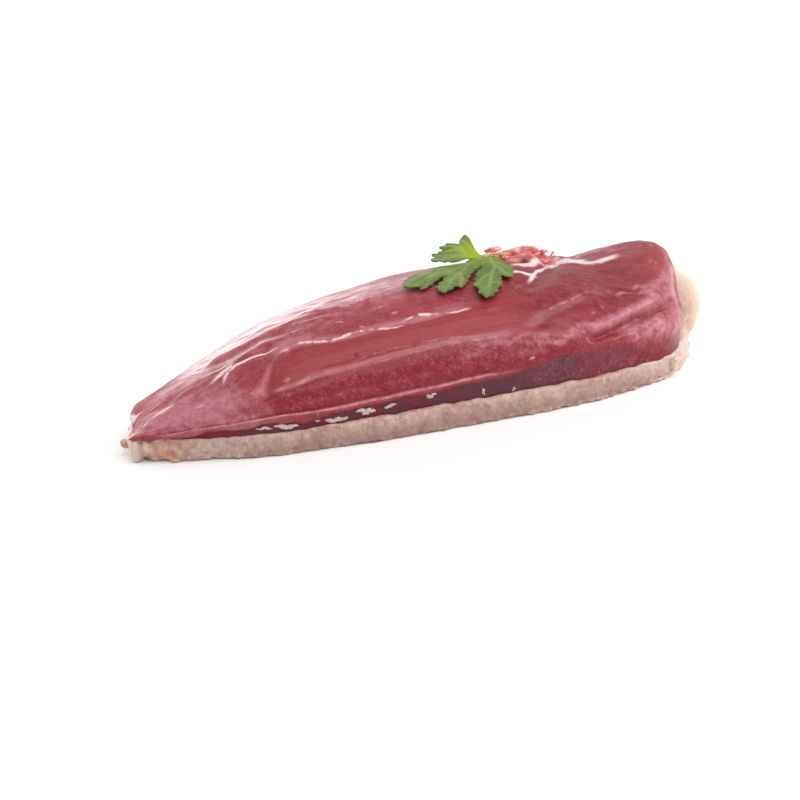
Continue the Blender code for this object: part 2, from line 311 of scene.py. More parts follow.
def makeCamera():
    data = bpy.data.cameras.new("photoCamera")
    data.lens = photoView["lens"]
    camera = bpy.data.objects.new("photoCamera", data)
    bpy.context.scene.collection.objects.link(camera)
    turned, above = math.radians(photoView["azimuth"]), math.radians(photoView["elevation"])
    level = Matrix.Rotation(-turned, 4, "Z") @ Matrix.Rotation(math.pi / 2 - above, 4, "X")
    forward = level @ Vector((0, 0, -1))
    camera.location = Vector(photoView["aim"]) - forward * photoView["distance"]
    camera.rotation_euler = (level @ Matrix.Rotation(math.radians(photoView["roll"]), 4, "Z")).to_euler()
    bpy.context.scene.camera = camera


# Plain soft studio light: a wide bright backdrop low behind the ridge, soft light from above and a
# fill from the right, in a pale room.
studio = {"world": 0.48, "floor": (246, 246, 247),
          "backdrop": {"at": (-0.66, 1.90, 0.46), "aim": (0, 0, 0.02), "size": (2.3, 0.85), "power": 27},
          "rightFill": {"at": (0.75, -0.30, 0.40), "aim": (0.03, 0, 0.02), "size": (0.4, 0.4), "power": 3.5},
          "above": {"from": (0.15, -0.30, 0.94), "softness": 60, "strength": 1.6}}


def hang(light, place, aim):
    # a light at a place, in metres, that shines towards another
    holder = bpy.data.objects.new(light.name, light)
    holder.location = place
    holder.rotation_euler = (Vector(aim) - Vector(place)).to_track_quat("-Z", "Y").to_euler()
    bpy.context.scene.collection.objects.link(holder)


def makeLights():
    for name in ("backdrop", "rightFill"):
        lamp = studio[name]
        light = bpy.data.lights.new(name, "AREA")
        light.shape = "RECTANGLE"
        light.size, light.size_y = lamp["size"]
        light.energy = lamp["power"]
        hang(light, lamp["at"], lamp["aim"])
    light = bpy.data.lights.new("above", "SUN")
    light.energy = studio["above"]["strength"]
    light.angle = math.radians(studio["above"]["softness"])
    hang(light, studio["above"]["from"], (0, 0, 0))
    world = bpy.data.worlds.new("studioWorld")
    world.use_nodes = True
    sky = world.node_tree.nodes["Background"]
    sky.inputs["Color"].default_value = (1, 1, 1, 1)
    sky.inputs["Strength"].default_value = studio["world"]
    bpy.context.scene.world = world
    bpy.context.scene.view_settings.view_transform = "Standard"


def makeFloor():
    bm = bmesh.new()
    bmesh.ops.create_grid(bm, x_segments=1, y_segments=1, size=3)
    mesh = bpy.data.meshes.new("floor")
    bm.to_mesh(mesh)
    bm.free()
    mesh.materials.append(newMaterial("paleFloor", Roughness=0.7, Base_Color=srgb(*studio["floor"]))[0])
    floor = bpy.data.objects.new("floor", mesh)
    bpy.context.scene.collection.objects.link(floor)


makeCamera()
makeLights()
makeFloor()
print("camera, lights and floor made")


# The lean meat. Stations are (x, value) along the breast. A place on its skin is read on a chart:
# x, and rise from 0 at the near lip over 1 on the ridge to 2 at the far flank, below 0 under the lip.
meat = {
    "tipX": -82.9, "endX": 89.8,
    "nearY": [(-84, -24), (-66, -33.4), (-50, -39.7), (-20, -43.7), (10, -45.2), (40, -45.6), (60, -42.2),
              (76, -40.6), (87, -25.3)],
    "farY": [(-84, -3), (-60, 10), (-30, 23), (10, 31), (45, 33), (75, 32), (87, 29)],
    "axisY": [(-84, -23.8), (-50, -10), (0, -4), (50, -2), (87, -1)],
    "ridgeY": [(-84, -16.3), (-60, -12), (-30, -10), (10, -9), (50, -6), (87, 3)],
    "ridgeZ": [(-84, 8.6), (-66, 17.1), (-54, 22.1), (-40, 27.2), (-20, 31.4), (5, 34), (30, 33.6),
               (50, 30.8), (62, 28.6), (72, 29.8), (80, 30.9), (87, 31.3)],
    "lipZ": [(-84, 7.5), (-60, 9), (-40, 10.5), (-10, 13), (20, 14.5), (50, 14.8), (72, 12.5), (87, 10)],
    "flankZ": [(-84, 8.6), (-60, 8.5), (-30, 11), (10, 13), (60, 15), (87, 16)],
    "tipRound": (5.7, 5), "tipAxisZ": 6.3,      # in plan and from the side
    "endRound": (41.7, 8.6), "endAxisZ": 24.2,
    "bandInset": 0.9, "floorSink": 0.6, "flankTuck": 13,
    "nosePower": 2.3, "arcLength": 45,
    # the chin: where the tip hangs a little over the fat, and how far
    "chinX": (-76, -82), "chinY": (-16, -24), "chinZ": (8.8, 6.4), "chinReach": (-2.5, -0.8, 0.5),
    "steps": {"band": 14, "front": 134, "back": 64, "flank": 14, "floor": 20},
    "stations": 376, "endEasing": 0.12,
}

# Creases and folds that shape it: a path of (x, rise) points, half width and height.
creases = {
    "lipRoll": ([(-70, 0.13), (-50, 0.16), (-20, 0.13), (30, 0.13)], 2.5, -0.5),
    "lowerSeam": ([(-49, 0.30), (-26, 0.35), (0, 0.34), (32, 0.34)], 2.2, -0.8),
    "upperSeam": ([(-38, 0.64), (-27, 0.59), (-9, 0.56), (16, 0.58)], 2.0, -0.7),
    "leftArc": ([(-44, 0.74), (-45, 0.51), (-49, 0.30)], 2.2, -0.7),
    "leftFold": ([(-57, 0.67), (-51, 0.78), (-44, 0.80), (-38, 0.76)], 2.4, 1.0),
    "topFolds": ([(-56, 1.00), (-45, 0.93), (-28, 0.92), (-12, 0.88)], 2.6, 0.9),
    "valley": ([(35, 0.74), (41, 0.85), (48, 1.01), (60, 1.30)], 4.0, -1.8),
    "paleLine": ([(31, 0.40), (47, 0.53), (52, 0.60)], 2.0, -0.6),
    "endGroove": ([(79, 0.27), (69, 0.29), (63, 0.27), (54, 0.18), (47, 0.13)], 2.2, -1.9),
    "endWelt": ([(78, 0.44), (70, 0.41), (61, 0.35), (48, 0.23)], 3.4, 0.9),
    "endLobe": ([(66, 0.10), (77, 0.08)], 7.0, 1.2),
    "tipFold": ([(-78, 0.35), (-68, 0.55), (-60, 0.50)], 2.5, -0.7),
    "farFold": ([(-30, 1.45), (10, 1.50), (45, 1.40)], 5.0, -1.2),
}
crags = {"firstX": 35, "stepX": 5.5, "rises": [1.24, 1.34, 1.20, 1.30, 1.22], "slant": 0.5, "reach": 0.05,
         "half": 2.8, "height": 2.4}

# Thin broken strands of membrane that lie on it: path, half width, height and how white they are.
strands = {
    "lowerSeamLeft": ([(-48, 0.33), (-39, 0.33), (-33, 0.37)], 0.60, 0.10, 0.28),
    "lowerSeam": ([(-33, 0.31), (-24, 0.29), (-11, 0.31), (6, 0.31), (14, 0.29), (28, 0.30)],
                  0.60, 0.10, 0.20),
    "lowerSeamTwin": ([(-26, 0.37), (-16, 0.38), (4, 0.36), (15, 0.33)], 0.60, 0.08, 0.18),
    "upperSeam": ([(-44, 0.66), (-39, 0.67), (-35, 0.68), (-30, 0.63), (-26, 0.60), (-21, 0.61), (-16, 0.59),
                   (-9, 0.55), (-1, 0.56)], 0.80, 0.20, 1.0),
    "upperSeamRight": ([(-7, 0.58), (-2, 0.60), (4, 0.58), (9, 0.56), (15, 0.58)], 0.85, 0.22, 1.0),
    "upperBranch": ([(-26, 0.72), (-23, 0.74), (-20, 0.68), (-16, 0.60)], 0.50, 0.12, 0.45),
    "faintFold": ([(-60, 0.83), (-56, 0.80), (-51, 0.80)], 0.50, 0.15, 0.40),
    # The ridge strands are pale membrane whose whiteness is also a painted highlight along the ridge's folds.
    "ridgeTwin": ([(-31, 1.00), (-24, 0.91), (-16, 0.86), (-7, 0.90)], 0.60, 0.25, 0.45),
    "underRidge": ([(-39, 0.76), (-36, 0.81), (-30, 0.79)], 0.50, 0.16, 0.40),
    "ridgeCrinkle": ([(-36, 0.90), (-28, 0.86), (-20, 0.83)], 0.50, 0.16, 0.35),
    "shortNick": ([(26, 0.63), (31, 0.71), (35, 0.78)], 0.50, 0.10, 0.30),
    "smallNick": ([(24, 0.45), (26, 0.43)], 0.50, 0.10, 0.25),
    "rightFold": ([(33, 0.43), (38, 0.48), (46, 0.55), (50, 0.60)], 0.50, 0.12, 0.28),
    "looseNick": ([(61, 0.55), (64, 0.515), (67, 0.48)], 0.50, 0.10, 0.30),
    "grooveLip": ([(78, 0.22), (70, 0.25), (62, 0.22)], 0.70, 0.15, 0.30),
    "lobeLine": ([(63, 0.24), (68, 0.18), (70, 0.09), (71, 0.01)], 0.60, 0.10, 0.12),
}

# Wet crests that catch the light all along, their whiteness painted on as highlight: path, half width, height
# and how white they are.
crests = {
    "leftFold": ([(-58.5, 0.58), (-57.5, 0.61), (-55, 0.68), (-52, 0.725), (-49, 0.735), (-45, 0.725),
                  (-40, 0.71)], 0.45, 0.40, 0.85),
    "ridgeStrand": ([(-50, 1.01), (-45, 1.03), (-39, 1.05), (-34, 0.98), (-25, 0.99), (-20, 1.0)],
                    0.60, 0.35, 0.90),
    "valleyCrest": ([(35.5, 0.77), (37.9, 0.82), (42, 0.93), (46.2, 1.00), (50, 1.07), (54, 1.13)],
                    0.75, 0.50, 1.0),
    "valleyTail": ([(51, 1.10), (54.5, 1.10), (58.3, 1.05), (62, 1.00), (67, 0.97), (73, 0.94)],
                   1.9, 0.35, 0.90),
    "valleySheet": ([(47, 1.05), (53, 1.09), (59, 1.09), (64, 1.05)], 2.2, 0.15, 0.85),
    "holeSheet": ([(35, 1.00), (37, 1.015), (42, 1.03), (46, 1.08), (50, 1.13)], 1.4, 0.25, 0.90),
    "leafSide": ([(32.5, 0.88), (34.2, 0.895), (36.9, 0.89), (39.5, 0.885), (41.5, 0.86)],
                 0.80, 0.35, 0.90),
    "lensRim": ([(66, 1.30), (70, 1.35), (73.4, 1.32), (75, 1.2)], 0.80, 0.10, 0.55),
    "tipLine": ([(-82.3, 1.75), (-82, 1.61), (-81, 1.17), (-79, 1.05), (-78, 1.02)], 0.70, 0.30, 0.7),
}

# Where the film is thicker and hazes the lines over: path, half width and strength.
hazes = {
    "lowerSeam": ([(-50, 0.33), (-39, 0.33), (-33, 0.35), (-20, 0.33), (0, 0.33), (14, 0.31), (28, 0.31)],
                  1.3, 0.38),
    "closingArc": ([(-40, 0.66), (-44, 0.62), (-46, 0.53), (-48, 0.43), (-49, 0.35), (-48, 0.28)],
                   0.7, 0.32),
    "upperSeam": ([(-44, 0.66), (-35, 0.68), (-26, 0.61), (-16, 0.59), (0, 0.57), (15, 0.58)], 1.1, 0.40),
    "seamVeil": ([(-44, 0.69), (-38, 0.71), (-30, 0.68)], 2.0, 0.40),
    "paleLine": ([(26, 0.31), (32, 0.40), (36, 0.43), (43, 0.50), (50, 0.58)], 1.6, 0.22),
    # endCrest lays the pale haze along the blunt end's crest, partly film and partly painted highlight.
    "endCrest": ([(44, 0.21), (50, 0.22), (55, 0.28), (62, 0.34), (68, 0.38), (74, 0.40)], 2.2, 0.25),
    "endEdge": ([(88, 0.49), (85, 0.36), (80, 0.29)], 1.6, 0.45),
    "roughPatch": ([(69, 0.41), (69, 0.50), (74, 0.52), (78, 0.47)], 1.2, 0.30),
}

# Small scraps of pale membrane: (x, rise), half length, half width and strength.
flecks = [((-75, 0.65), 2.8, 1.2, 1.00), ((-79, 0.80), 1.6, 0.7, 0.60), ((-76.2, 0.90), 2.0, 0.7, 0.55),
          ((-81, 0.56), 0.8, 0.6, 0.60), ((-65.2, 0.45), 1.1, 0.8, 0.50), ((61, 0.54), 1.3, 0.7, 0.28),
          ((67, 0.56), 1.2, 0.6, 0.26), ((67, 0.49), 0.9, 0.5, 0.24), ((52, 0.42), 0.8, 0.5, 0.22),
          ((48, 0.36), 0.7, 0.5, 0.22), ((-7, 0.67), 0.8, 0.5, 0.40), ((-10, 0.76), 0.7, 0.4, 0.30),
          ((-26, 0.60), 0.8, 0.5, 0.70), ((-42, 0.38), 0.7, 0.6, 0.30), ((26, 0.05), 0.7, 0.5, 0.55),
          ((78, 0.71), 0.7, 0.5, 0.22), ((79.6, 0.66), 0.7, 0.4, 0.20), ((56, 0.78), 0.6, 0.4, 0.15)]

# The lip over the dark band: where it runs, then where the band under it starts: (x, rise) points.
lip = {"line": [(-84, -0.02), (-77, 0.00), (-73, 0.01), (-69, 0.04), (-63, 0.05), (-57, 0.06), (-44, 0.04),
                (-30, 0.00), (28, -0.02), (60, -0.02)],
       "band": [(-84, -0.06), (-70, -0.03), (-58, -0.02), (-44, -0.04), (0, -0.05), (14, -0.05),
                (26, -0.02), (36, 0.01), (46, 0.00), (54, -0.03), (60, -0.06), (68, -0.085), (88, -0.085)]}

# Where the wet film over the ridge carries a painted highlight, a pale sheen, and how wide.
paintedSheenPatch = ([(-70, 1.12), (-60, 1.08), (-48, 1.08), (-35, 1.13), (-15, 1.06), (8, 1.02)], 5)

# A dark blood spot in it, and painted shade in the torn hole, in the lens near the hump and along the tip's
# groove: path, half width and strength.
spotAndPaintedShade = {
    "spot": ([(-22, 0.41), (-21.99, 0.41)], 0.65, 1.4),
    "tornHoleAndShade": ([(40, 1.10), (42.5, 1.11)], 1.3, 1.0),
    "lens": ([(60, 1.22), (66, 1.19), (70, 1.13)], 2.2, 0.4),
    "tipGrooveAndShade": ([(-77, 0.09), (-73, 0.07), (-69, 0.10), (-64, 0.075)], 0.8, 0.3),
}

# The bare flesh lies between the lip and the lower seam, the clear red film over it up to the upper
# seam: (x, rise) points.
seams = {
    "lower": [(-60, 0.37), (-47, 0.33), (-33, 0.33), (-24, 0.31), (22, 0.31), (30, 0.25), (40, 0.18),
              (52, 0.08), (62, 0.0)],
    "upper": [(-50, 0.55), (-40, 0.66), (-26, 0.60), (-9, 0.55), (15, 0.58), (24, 0.75)],
}

# Where each look starts and stops along the breast, then across it: (none, full) places, gaps to the
# seam it ends at, or rises.
spans = {
    "bare": [(-57, -46)], "film": [(-50, -45), (34, 22)], "deep": [(14, 30), (80, 60)],
    "lip": [(-80, -74), (26, 6)], "under": [(-80, -66)], "fuzz": [(16, 32), (72, 60)],
    "torn": [(30, 33), (57, 53)], "matte": [(-60, -72)], "tip": [(-36, -58)],
    "crimsonTip": [(-52, -62)], "crimsonEnd": [(40, 66)],
}
crossSpans = {
    "bareTop": [(1.2, -1.6)], "filmFoot": [(-1.2, 0.8)], "filmTop": [(1, -1)], "deepFoot": [(-1, 4)],
    "deepRise": [(1.15, 1.0)], "tornRise": [(1.06, 1.14), (1.5, 1.4)], "matteRise": [(0.6, 0.9)],
    "fuzzArc": [(1.5, -1.0)],
}

# How far noise sways the looks' edges and, less, the lines, in millimetres: heights of its soft and
# fine parts, along the breast and on the chart.
sway = {"edgeX": (1.1, 0.4), "edgeArc": (1.4, 0.5), "lineX": 0.3, "lineArc": (0.35, 0.12)}

# Where a film of silverskin makes it lilac: path, half width and strength.
silverskin = {
    "tip": ([(-84, 0.62), (-76, 0.46), (-66, 0.36)], 14, 1.0),
    "tipTop": ([(-80, 1.0), (-64, 0.98)], 7, 0.7),
    "tipNear": ([(-80, 0.10), (-60, 0.16), (-52, 0.14)], 4, 0.6),
    "leftNode": ([(-57, 0.45), (-50, 0.38)], 4, 0.5),
    "topVeil": ([(-44, 0.84), (-20, 0.90), (4, 0.92)], 8, 0.5),
    "seamVeil": ([(-38, 0.70), (-28, 0.66)], 2, 0.4),
    "endBand": ([(76, 0.40), (62, 0.35), (50, 0.27), (39, 0.21), (31, 0.17)], 3, 0.7),
    "bareVeil": ([(6, 0.18), (20, 0.17), (30, 0.14)], 3, 0.45),
    "endLobe": ([(60, 0.12), (70, 0.12), (82, 0.14)], 6, 0.9),
    "endEdge": ([(89, 0.90), (88, 0.49), (85, 0.34), (82, 0.20)], 3, 0.9),
    "endRough": ([(70, 0.44), (79, 0.50)], 3, 0.8),
    # humpTop and humpFront lay lilac where the hump catches the light, partly silverskin and partly painted
    # highlight.
    "humpTop": ([(76, 1.03), (83, 0.90)], 2, 0.3),
    "humpFront": ([(66, 1.30), (74, 1.08)], 2, 0.8),
    "fuzzyPatch": ([(12, 0.26), (24, 0.23), (34, 0.17)], 4, 0.55),
    "loosePatch": ([(52, 0.62), (57, 0.58)], 2.5, 0.5),
    "looseSpot": ([(66, 0.58), (69, 0.55)], 2, 0.45),
}


def onChart(path):
    return [(x, rise * meat["arcLength"]) for x, rise in path]


def easedShare(ring, count, easing):
    # 0 to 1 in count steps, with small steps close to both ends
    t = ring / count
    short = 1 - easing
    start = t * t / (2 * easing)
    stop = short - (1 - t) ** 2 / (2 * easing)
    return np.where(t < easing, start, np.where(t > short, stop, t - easing / 2)) / short


def meatPlaces(x, stretch, t):
    near, far = curveAt(meat["nearY"], x), curveAt(meat["farY"], x)
    lipZ, flank = curveAt(meat["lipZ"], x), curveAt(meat["flankZ"], x)
    ridgeY, ridgeZ = curveAt(meat["ridgeY"], x), curveAt(meat["ridgeZ"], x)
    floor = curveAt(fat["thick"], x) - meat["floorSink"]
    inset, tuck = meat["bandInset"], meat["flankTuck"]
    turn = t * math.pi / 2
    kinds = [stretch == number for number in range(4)]
    y = np.select(kinds, [near + inset * (1 - t * t), ridgeY + (near - ridgeY) * np.cos(turn),
                          ridgeY + (far - ridgeY) * np.sin(turn), far - tuck * (1 - np.cos(turn))],
                  far - tuck + (near + inset - far + tuck) * t)
    z = np.select(kinds, [floor + (lipZ - floor) * t, lipZ + (ridgeZ - lipZ) * np.sin(turn),
                          flank + (ridgeZ - flank) * np.cos(turn),
                          flank - (flank - floor) * np.sin(turn)], floor)
    arc = np.select(kinds, [(floor - lipZ) * (1 - t), meat["arcLength"] * t, meat["arcLength"] * (1 + t),
                            meat["arcLength"] * (2 + 0.3 * t)], meat["arcLength"] * (2.3 + t))
    axisY = curveAt(meat["axisY"], x)
    axisZ = np.where(x < 0, meat["tipAxisZ"], meat["endAxisZ"])
    plan, side = meatNoses(x)
    return np.stack([x, axisY + (y - axisY) * plan, axisZ + (z - axisZ) * side], 1), arc


def noseShare(x, tip, end, tipRound, endRound):
    # 1 along the middle of a length, falling to 0 in a round nose at each end
    power = meat["nosePower"]
    a = np.clip((tip + tipRound - x) / tipRound, 0, 1)
    b = np.clip((x - end + endRound) / endRound, 0, 1)
    return ((1 - a**power) * (1 - b**power)) ** (1 / power)


def meatNoses(x):
    # how wide and how tall the meat is at x, against its full section
    return [noseShare(x, meat["tipX"], meat["endX"], tip, end)
            for tip, end in zip(meat["tipRound"], meat["endRound"])]


def formRelief(x, arc):
    # the creases, folds and torn crags that the form has
    total = np.zeros(len(x))
    for path, half, height in creases.values():
        total += height * bump(pathDistance(x, arc, onChart(path)), half)
    for count, rise in enumerate(crags["rises"]):
        middle = crags["firstX"] + crags["stepX"] * count
        path = [(middle - crags["slant"], rise - crags["reach"]),
                (middle + crags["slant"], rise + crags["reach"])]
        total += crags["height"] * bump(pathDistance(x, arc, onChart(path)), crags["half"])
    return total


def girthShare(x):
    # how long the front of the section really is at x, against the chart's own length
    plan, side = meatNoses(x)
    wide = (curveAt(meat["ridgeY"], x) - curveAt(meat["nearY"], x)) * plan
    tall = (curveAt(meat["ridgeZ"], x) - curveAt(meat["lipZ"], x)) * side
    return np.sqrt((wide**2 + tall**2) / 2) * math.pi / 2 / meat["arcLength"]


def meatBall(steps, stations):
    # a ball whose poles are the tip and the blunt end, pressed into the meat's sections
    around = sum(steps)
    bm = bmesh.new()
    bmesh.ops.create_uvsphere(bm, u_segments=around, v_segments=stations, radius=1)
    ball = readPlaces(bm.verts)
    ring = np.round(np.arccos(np.clip(-ball[:, 2], -1, 1)) / math.pi * stations)
    # the ball's first meridian is at +Y, so steps are counted from there
    step = np.round((np.arctan2(ball[:, 1], ball[:, 0]) / math.tau - 0.25) * around) % around
    starts = np.cumsum([0] + list(steps))
    stretch = np.searchsorted(starts, step, side="right") - 1
    t = (step - starts[stretch]) / np.array(steps)[stretch]
    x = meat["tipX"] + (meat["endX"] - meat["tipX"]) * easedShare(ring, stations, meat["endEasing"])
    places, arc = meatPlaces(x, stretch, t)
    movePlaces(bm.verts, places)
    faceOut(bm)
    places += readNormals(bm) * formRelief(x, arc)[:, None]
    movePlaces(bm.verts, places)
    return bm, x, arc, places


def nearestLine(x, y, lines):
    # the squared gap to the nearest line in half widths, how white it is, and how high the lines stand
    nearest, shown, relief = np.full(len(x), 81.0), np.zeros(len(x)), np.zeros(len(x))
    for path, half, height, white in lines.values():
        gap, share = pathGap(x, y, smoothPath(onChart(path)))
        fade = smoothStep(0, 0.18, share) * smoothStep(1, 0.82, share)
        away = (gap / half) ** 2
        shown = np.where(away < nearest, white * fade * smoothStep(11, 4, away), shown)
        nearest = np.minimum(nearest, away)
        relief += height * fade * bump(gap, max(half, 0.6))
    return nearest, shown, relief


def meatMasks(x, arc, places):
    # what covers each place of the meat, 0 to 1, the gaps to its lines, and how high the lines stand
    length = meat["arcLength"]
    rise = arc / length
    soft, fine = noiseAt(places, 7, 0.3), noiseAt(places, 2.2, 5.1)
    swayX = x + sway["edgeX"][0] * soft + sway["edgeX"][1] * fine
    swayArc = arc + noisy(places, [(sway["edgeArc"][0], 8, 7.7), (sway["edgeArc"][1], 2.4, 2.9)])
    lineX = x + sway["lineX"] * soft
    lineArc = arc + sway["lineArc"][0] * noiseAt(places, 5, 7.7) + sway["lineArc"][1] * fine
    shown = {name: within(swayX if name in ("bare", "film", "deep") else x, pairs)
             for name, pairs in spans.items()}
    aboveLower, aboveUpper = (swayArc - curveAt(seams[name], x) * length for name in ("lower", "upper"))
    across = {"bareTop": aboveLower, "filmFoot": aboveLower, "filmTop": aboveUpper, "deepFoot": aboveLower,
              "deepRise": rise, "tornRise": rise, "matteRise": rise, "fuzzArc": arc}
    ending = {name: within(across[name], pairs) for name, pairs in crossSpans.items()}
    masks = {
        "bare": shown["bare"] * ending["bareTop"],
        "film": shown["film"] * ending["filmFoot"] * ending["filmTop"],
        "deep": shown["deep"] * ending["deepFoot"] * ending["deepRise"],
        "crimson": np.maximum(shown["crimsonTip"], shown["crimsonEnd"]),
        "fuzz": shown["fuzz"] * ending["fuzzArc"],
        "torn": shown["torn"] * ending["tornRise"],
        "matte": shown["matte"] * ending["matteRise"],
        "lip": shown["lip"], "under": shown["under"], "tip": shown["tip"],
        "lipGap": arc + 0.3 * (swayArc - arc) - curveAt(lip["line"], x) * length,
        "bandGap": swayArc - curveAt(lip["band"], x) * length,
        "paintedSheen": bump(pathDistance(swayX, swayArc, onChart(paintedSheenPatch[0])), paintedSheenPatch[1]),
    }
    lilac, haze, fleck = np.zeros(len(x)), np.zeros(len(x)), np.zeros(len(x))
    for path, half, strength in silverskin.values():
        reach = pathDistance(swayX, swayArc, onChart(path))
        lilac = np.maximum(lilac, strength * smoothStep(1.5 * half, 0.2 * half, reach))
    for path, half, strength in hazes.values():
        gap, share = pathGap(lineX, lineArc, smoothPath(onChart(path)))
        fade = smoothStep(0, 0.12, share) * smoothStep(1, 0.88, share)
        haze = np.maximum(haze, strength * fade * smoothStep(1.5 * half, 0.3 * half, np.abs(gap)))
    for (atX, atRise), long, wide, strength in flecks:
        gap = np.hypot((lineX - atX) / long, (lineArc - atRise * length - 0.3 * (x - atX)) / wide)
        fleck = np.maximum(fleck, strength * smoothStep(1.5, 0.6, gap))
    marks = {}
    for name, (path, half, _) in spotAndPaintedShade.items():
        along = {"spot": arc, "lens": swayArc}.get(name, lineArc)
        marks[name] = bump(pathDistance(x, along, onChart(path)), half)
    marks["tipGrooveAndShade"] *= 0.6 + 0.6 * fine
    dark = np.maximum.reduce([marks[name] * strength for name, (_, _, strength) in spotAndPaintedShade.items()])
    lineGap, line, lineRelief = nearestLine(lineX, lineArc, strands)
    crestGap, crestHighlight, crestRelief = nearestLine(lineX, lineArc, crests)
    masks.update({"lilac": lilac, "haze": haze, "fleck": fleck, "dark": np.clip(dark, 0, 1), "line": line,
                  "lineGap": lineGap, "crestHighlight": crestHighlight, "crestGap": crestGap})
    return masks, lineRelief + crestRelief - 1.6 * marks["tornHoleAndShade"] - 0.12 * marks["tipGrooveAndShade"]


# How lumpy each look feels: height, size and seed of each noise on it. Then the drawn-out ones, which
# are (height, length and width on the chart, seed), and the small knob on the blunt end's near edge.
lumps = {
    "all": [(0.30, (13, 9, 9), 3.3), (0.12, (4, 2.6, 2.6), 9.1)],
    "tipEnd": [(0.18, (4.5, 3, 3), 8.8), (0.10, 1.6, 2.2)],
    "torn": [(0.6, 3.2, 1.1), (0.12, 1.2, 5.6)],
    "fuzz": [(0.10, 0.9, 6.1)],
}
wrinkles = {"film": (0.06, 9, 1.6, 6.6), "paintedSheen": (0.30, 7, 2.0, 2.6)}
fibres = {"height": 0.12, "length": 3.2, "width": 0.9, "along": 0.5, "across": 0.87}
knob = {"x": 86, "arc": 3, "half": 1.6, "height": 0.9}


def fineRelief(x, arc, places, masks):
    # what a fingertip would feel: fibres, wrinkles, the rolled lip and torn flesh
    where = {**masks, "all": 1, "tipEnd": smoothStep(-56, -68, x)}
    total = sum(where[name] * noisy(places, noises) for name, noises in lumps.items())
    roll, seam = bump(masks["lipGap"] + 0.8, 1.0), bump(masks["lipGap"] - 1.0, 0.7)
    total += masks["lip"] * (0.40 * roll - (0.10 + 0.35 * smoothStep(-60, -42, x)) * seam)
    total -= 0.40 * masks["under"] * masks["lip"] * bump(masks["bandGap"] + 0.3, 0.6)
    true = arc * girthShare(x)
    for name, (height, length, width, seed) in wrinkles.items():
        drawn = np.stack([x / length, true / width, 0 * x], 1)
        total += height * masks[name] * noiseAt(drawn, 1, seed)
    along, across = fibres["along"], fibres["across"]
    for slope, level, seed in ((1, 0, 1.7), (-1, 4.2, 0)):
        fibre = np.stack([(x * along + slope * true * across) / fibres["length"],
                          (true * along - slope * x * across) / fibres["width"], 0 * x + level], 1)
        total += fibres["height"] * masks["bare"] * noiseAt(fibre, 1, seed)
    right = smoothStep(25, 45, x) * (0.12 * masks["lilac"] + 0.12)
    total += right * noiseAt(places, (3.2, 2.2, 2.2), 3.9) + 0.12 * masks["fleck"]
    total += knob["height"] * bump(np.hypot(x - knob["x"], arc - knob["arc"]), knob["half"])
    return total


meatLook = {
    "lean": (154, 50, 57), "leanDark": (138, 40, 48), "leanLight": (174, 76, 82), "bare": (132, 28, 42),
    "bareLight": (204, 108, 116), "film": (152, 50, 54), "filmLight": (166, 66, 66), "deep": (126, 24, 34),
    # crestHighlight is the painted highlight along the wet crests
    "lilac": (204, 134, 146), "lilacDark": (168, 84, 96), "pale": (236, 196, 198), "crestHighlight": (250, 226, 230),
    # under, underRed and crimson colour the band under the lip: purple silverskin, darkened as painted shade
    # under the lip's overhang, crimson deepest at both ends
    "under": (98, 42, 58), "underRed": (118, 34, 50), "torn": (226, 128, 118), "speck": (222, 170, 170),
    # lipHighlight is the painted highlight along the lip's edge
    "dark": (104, 0, 14), "lipHighlight": (214, 142, 152), "strip": (160, 66, 72), "fuzz": (176, 110, 124),
    # veil is the pale colour of the painted highlight on the ridge's wet film
    "crimson": (126, 18, 38), "veil": (232, 196, 204), "haze": (214, 152, 162), "fleck": (240, 204, 188),
    "tornRed": (188, 70, 74),
}


